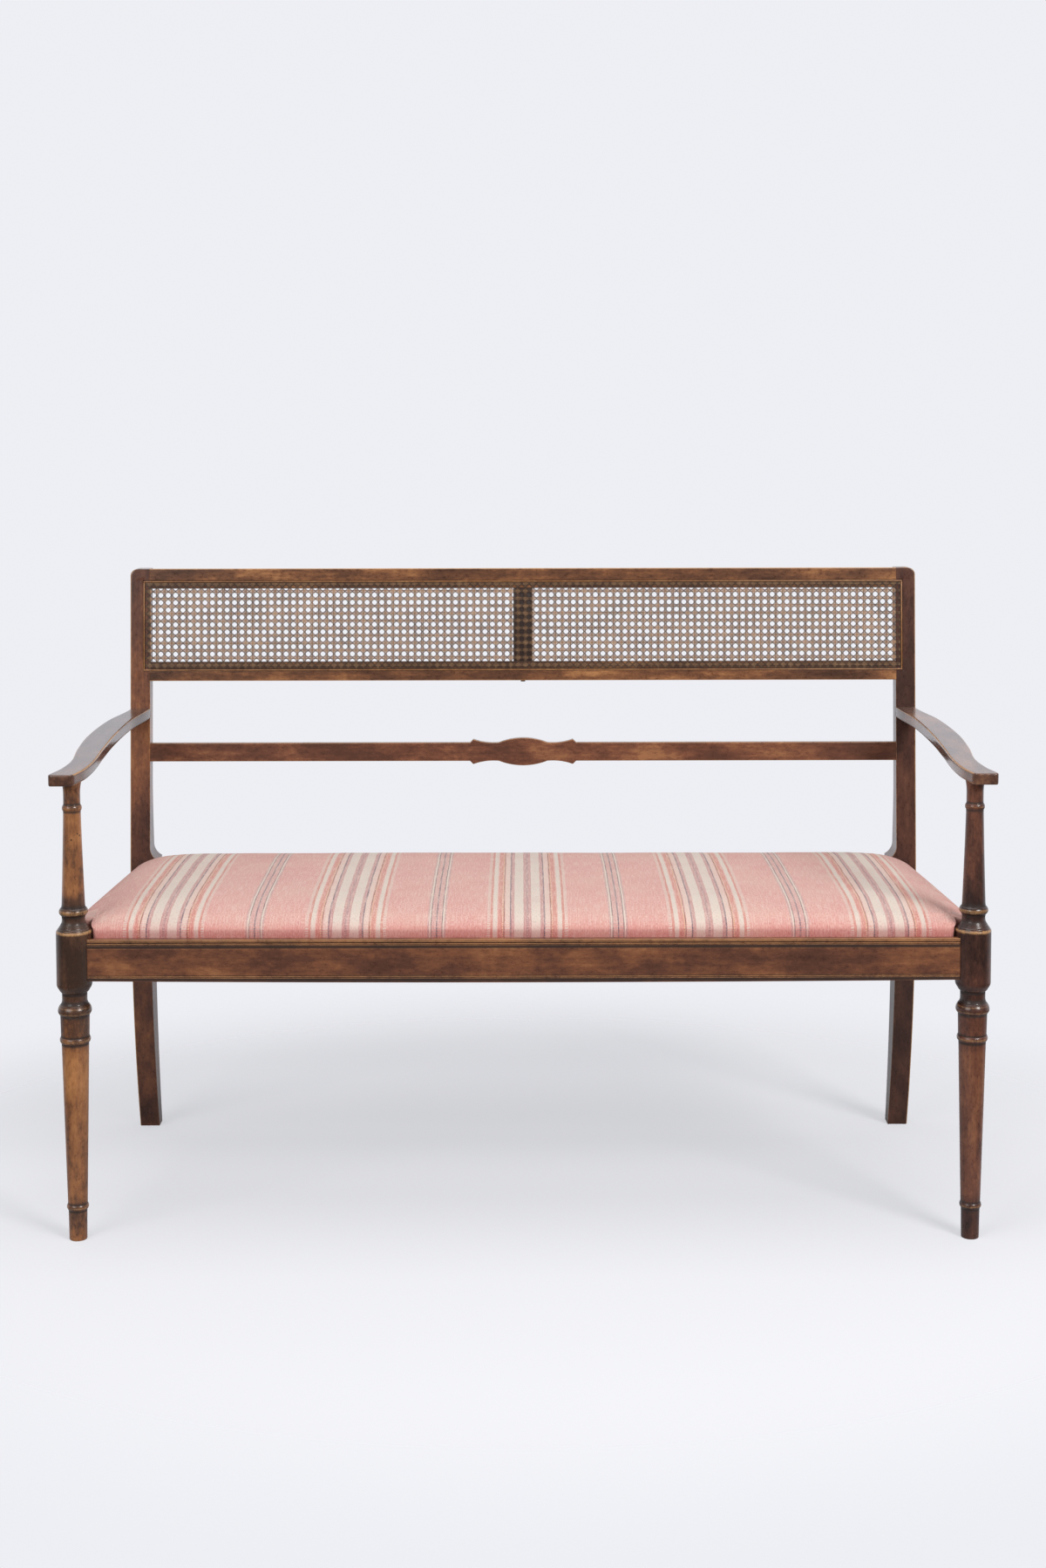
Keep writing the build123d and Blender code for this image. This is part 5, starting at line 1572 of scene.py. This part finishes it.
    def sides(self, piece: Piece, weave) -> None:
        """Extrudes the edge of the top down the sides and turns it under the frame."""
        rail, base = self.sizes.rail_top, self.base
        border = [edge for edge in piece.bm.edges if len(edge.link_faces) == 1]
        for z, inset in ((rail + 8.0, -0.4), (rail + 4.0, -0.5), (rail, -0.3), (rail - 5.0, 0.3),
                         (base + 0.8, 0.0), (base, 0.8), (base, 13.0), (base, 26.0)):
            made = bmesh.ops.extrude_edge_only(piece.bm, edges=border)["geom"]
            border = [e for e in made if isinstance(e, bmesh.types.BMEdge)]
            for vert in (v for v in made if isinstance(v, bmesh.types.BMVert)):
                x, y, before = vert.co
                (step_x, step_y), (edge_x, edge_y) = self.inward(x, y), self.at_edge(x, y)
                vert.co = (edge_x + step_x * inset, edge_y + step_y * inset, min(z, before) if z > rail else z)
                drop = abs(before - vert.co.z) * MM
                vert[weave] = vert[weave] + Vector((0.0, -drop if y < 0 else drop, 0.0))

    def soften(self, piece: Piece) -> None:
        """Rounds the upright corners between the seat's front and the front notches."""
        front_x = self.notches[0][0] - self.corner_round
        front_y = self.front + self.corner_round
        for vert in piece.bm.verts:
            dx, dy = abs(vert.co.x) - front_x, front_y - vert.co.y
            if dx > 0.0 and dy > 0.0:
                scale = max(dx, dy) / math.hypot(dx, dy)
                vert.co.x = math.copysign(front_x + dx * scale, vert.co.x)
                vert.co.y = front_y - dy * scale

    def outline(self) -> List[Pair]:
        """Right half of the notched plan, from the front middle to the rear middle."""
        (front_x, front_y), (rear_x, rear_y) = self.notches
        return [(0.0, self.front), (front_x, self.front), (front_x, front_y), (self.side_x(front_y), front_y),
                (self.side_x(rear_y), rear_y), (rear_x, rear_y), (rear_x, self.rear), (0.0, self.rear)]

    def at_edge(self, x: float, y: float) -> Pair:
        """Nearest place on the notched edge of the plan."""
        best, found = 1e9, (x, y)
        place = Vector((abs(x), y))
        outline = [Vector(corner) for corner in self.outline()]
        for start, end in zip(outline, outline[1:]):
            span = end - start
            near = start + span * held((place - start).dot(span) / span.length_squared)
            if (near - place).length < best:
                best, found = (near - place).length, (math.copysign(near.x, x), near.y)
        return found

    def inward(self, x: float, y: float) -> Pair:
        """Direction into the plan from a place on its edge, slanted at the corners."""
        (front_x, front_y), (rear_x, rear_y) = self.notches
        beside_front, beside_rear = abs(x) > front_x - 1.0, abs(x) > rear_x - 1.0
        dx = dy = 0.0
        if beside_front or (beside_rear and y > front_y - 2.0):
            dx = -math.copysign(1.0, x)
        if y < self.front + 1.0 or (beside_front and y < front_y + 2.0):
            dy = 1.0
        if y > self.rear - 1.0 or (beside_rear and y > rear_y - 2.0):
            dy = -1.0
        return dx, dy


# Hidden pieces


@dataclass(frozen=True)
class HiddenPieces:
    """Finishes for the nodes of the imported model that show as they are."""

    nodes: Dict[str, bpy.types.Object]

    def build(self) -> None:
        """Gives each node its procedural finish, raw wood where it begins like a hidden wooden one."""
        finishes = {
            "brace_screws": PlainMetal("screw_steel"),
            "seat_webbing": Cloth("jute_webbing", (0.50, 0.38, 0.22), (0.30, 0.21, 0.11), 0.004),
            "seat_hessian": Cloth("hessian_cloth", (0.45, 0.34, 0.19), (0.30, 0.21, 0.11), 0.0025),
            "seat_undercloth": Cloth("black_undercloth", (0.035, 0.034, 0.034), (0.022, 0.022, 0.022), 0.0012),
            "seat_stuffing": Cloth("cotton_stuffing", (0.68, 0.62, 0.52), (0.60, 0.54, 0.44), 0.006),
        }
        raw = RawWood("raw_beech")
        for name, obj in self.nodes.items():
            hidden = name.startswith(("corner_brace", "seat_frame", "arm_dowels"))
            finishes.get(name, raw if hidden else WOOD).apply(obj)


# Studio


@dataclass(frozen=True)
class Lamp:
    """One soft rectangular light in metres and watts, aimed at a point."""

    name: str
    place: Tuple[float, float, float]
    aim: Tuple[float, float, float]
    size: Pair
    power: float
    colour: Colour

    def build(self) -> None:
        """Adds the light, its reflections held back so that old polish doesn't glare."""
        data = bpy.data.lights.new(self.name, "AREA")
        data.shape = "RECTANGLE"
        data.size, data.size_y = self.size
        data.energy, data.color = self.power, self.colour
        data.specular_factor = 0.7
        obj = bpy.data.objects.new(self.name, data)
        bpy.context.scene.collection.objects.link(obj)
        turn = (Vector(self.aim) - Vector(self.place)).to_track_quat("-Z", "Y")
        obj.matrix_world = Matrix.Translation(self.place) @ turn.to_matrix().to_4x4()


@dataclass(frozen=True)
class Studio:
    """Camera at the photograph's angle, soft light and a pale floor.

    The camera's row and focal length are in pixels of the photograph, its angles in degrees. `room` and
    `low` are how bright the room in front and the room near the floor are in reflections.
    """

    width: int = 1200
    height: int = 1799
    focal_px: float = 2498.5
    centre_row: float = 635.44
    sensor: float = 36.0
    place: Tuple[float, float, float] = (-0.0025, -3.1991, 1.1496)
    pitch: float = 3.7957
    yaw: float = -0.0484
    roll: float = -0.1021
    room: float = 0.22
    low: float = 0.25
    ambient: float = 0.27
    floor_size: float = 9.0
    lamps: Tuple[Lamp, ...] = (
        Lamp("key", (2.4, -2.9, 2.7), (0.0, 0.0, 0.5), (1.3, 1.3), 122.0, (1.0, 0.985, 0.965)),
        Lamp("fill", (-2.6, -3.2, 2.2), (0.0, 0.0, 0.5), (2.4, 2.0), 78.0, (1.0, 0.985, 0.965)),
        Lamp("top", (0.0, -0.4, 3.2), (0.0, 0.0, 0.4), (2.8, 2.2), 40.0, (1.0, 1.0, 1.0)),
    )

    def camera(self) -> None:
        """Sets the camera from the fit to the photograph."""
        data = bpy.data.cameras.new("camera")
        data.sensor_fit = "AUTO"
        data.sensor_width = self.sensor
        data.lens = self.focal_px / self.height * self.sensor
        data.shift_y = (self.centre_row - self.height / 2) / self.height
        obj = bpy.data.objects.new("camera", data)
        scene = bpy.context.scene
        scene.collection.objects.link(obj)
        turn = Euler((math.radians(90.0 - self.pitch), 0.0, math.radians(self.yaw)), "XYZ").to_matrix()
        turn = turn @ Matrix.Rotation(math.radians(self.roll), 3, "Z")
        obj.matrix_world = Matrix.Translation(self.place) @ turn.to_4x4()
        scene.camera = obj
        scene.render.resolution_x, scene.render.resolution_y = self.width, self.height
        scene.view_settings.view_transform = "Standard"

    def world(self) -> None:
        """Pale surroundings behind, a dimmer room in reflections and an even dim light on matte surfaces."""
        world = bpy.data.worlds.new("surroundings")
        bpy.context.scene.world = world
        g = Graph(world)
        _, depth, height = g.parts(g.node("ShaderNodeTexCoord", "Generated"))
        level = (g.remap(depth, -0.35, 0.45, self.room, 1.0)
                 * g.remap(height, -0.32, -0.16, self.low, 1.0))
        mirrored = g.node("ShaderNodeBackground", Color=(0.93, 0.94, 1.0), Strength=level)
        seen = g.node("ShaderNodeBackground", Color=(0.852, 0.860, 0.902), Strength=1.0)
        soft = g.node("ShaderNodeBackground", Color=(0.95, 0.955, 1.0), Strength=self.ambient)
        glossy = g.node("ShaderNodeLightPath", "Is Glossy Ray")
        direct = g.node("ShaderNodeLightPath", "Is Camera Ray")
        unseen = g.node("ShaderNodeMixShader", i0=glossy, i1=soft, i2=mirrored)
        g.close("ShaderNodeOutputWorld", g.node("ShaderNodeMixShader", i0=direct, i1=unseen, i2=seen))

    def floor(self) -> None:
        """A wide pale floor under the feet."""
        bm = bmesh.new()
        bmesh.ops.create_grid(bm, x_segments=1, y_segments=1, size=self.floor_size)
        mesh = bpy.data.meshes.new("studio_floor")
        bm.to_mesh(mesh)
        bm.free()
        obj = bpy.data.objects.new("studio_floor", mesh)
        bpy.context.scene.collection.objects.link(obj)
        Backdrop("studio_floor").apply(obj)
        obj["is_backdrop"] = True

    def build(self) -> None:
        """Sets up the whole studio."""
        self.camera()
        self.world()
        self.floor()
        for lamp in self.lamps:
            lamp.build()


def main() -> None:
    """Builds every group of pieces in order."""
    logging.basicConfig(level=logging.INFO, format="%(message)s")
    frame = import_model()
    cad_box = plain(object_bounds())
    LOG.info("frame holds %d nodes", len(frame["nodes"]))
    HiddenPieces(frame["nodes"]).build()
    for group in (TurnedPosts(), BackPosts(), SeatRails(), BackFrame(), CaneWork(), Arms(), SeatCover()):
        group.build()
        LOG.info("built %s", type(group).__name__)
    Studio().build()
    {"cad": cad_box, "visual": plain(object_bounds())}


def plain(box: Iterable) -> List[List[float]]:
    """A box as plain lists of numbers."""
    return [[float(value) for value in corner] for corner in box]


if __name__ == "__main__":
    main()
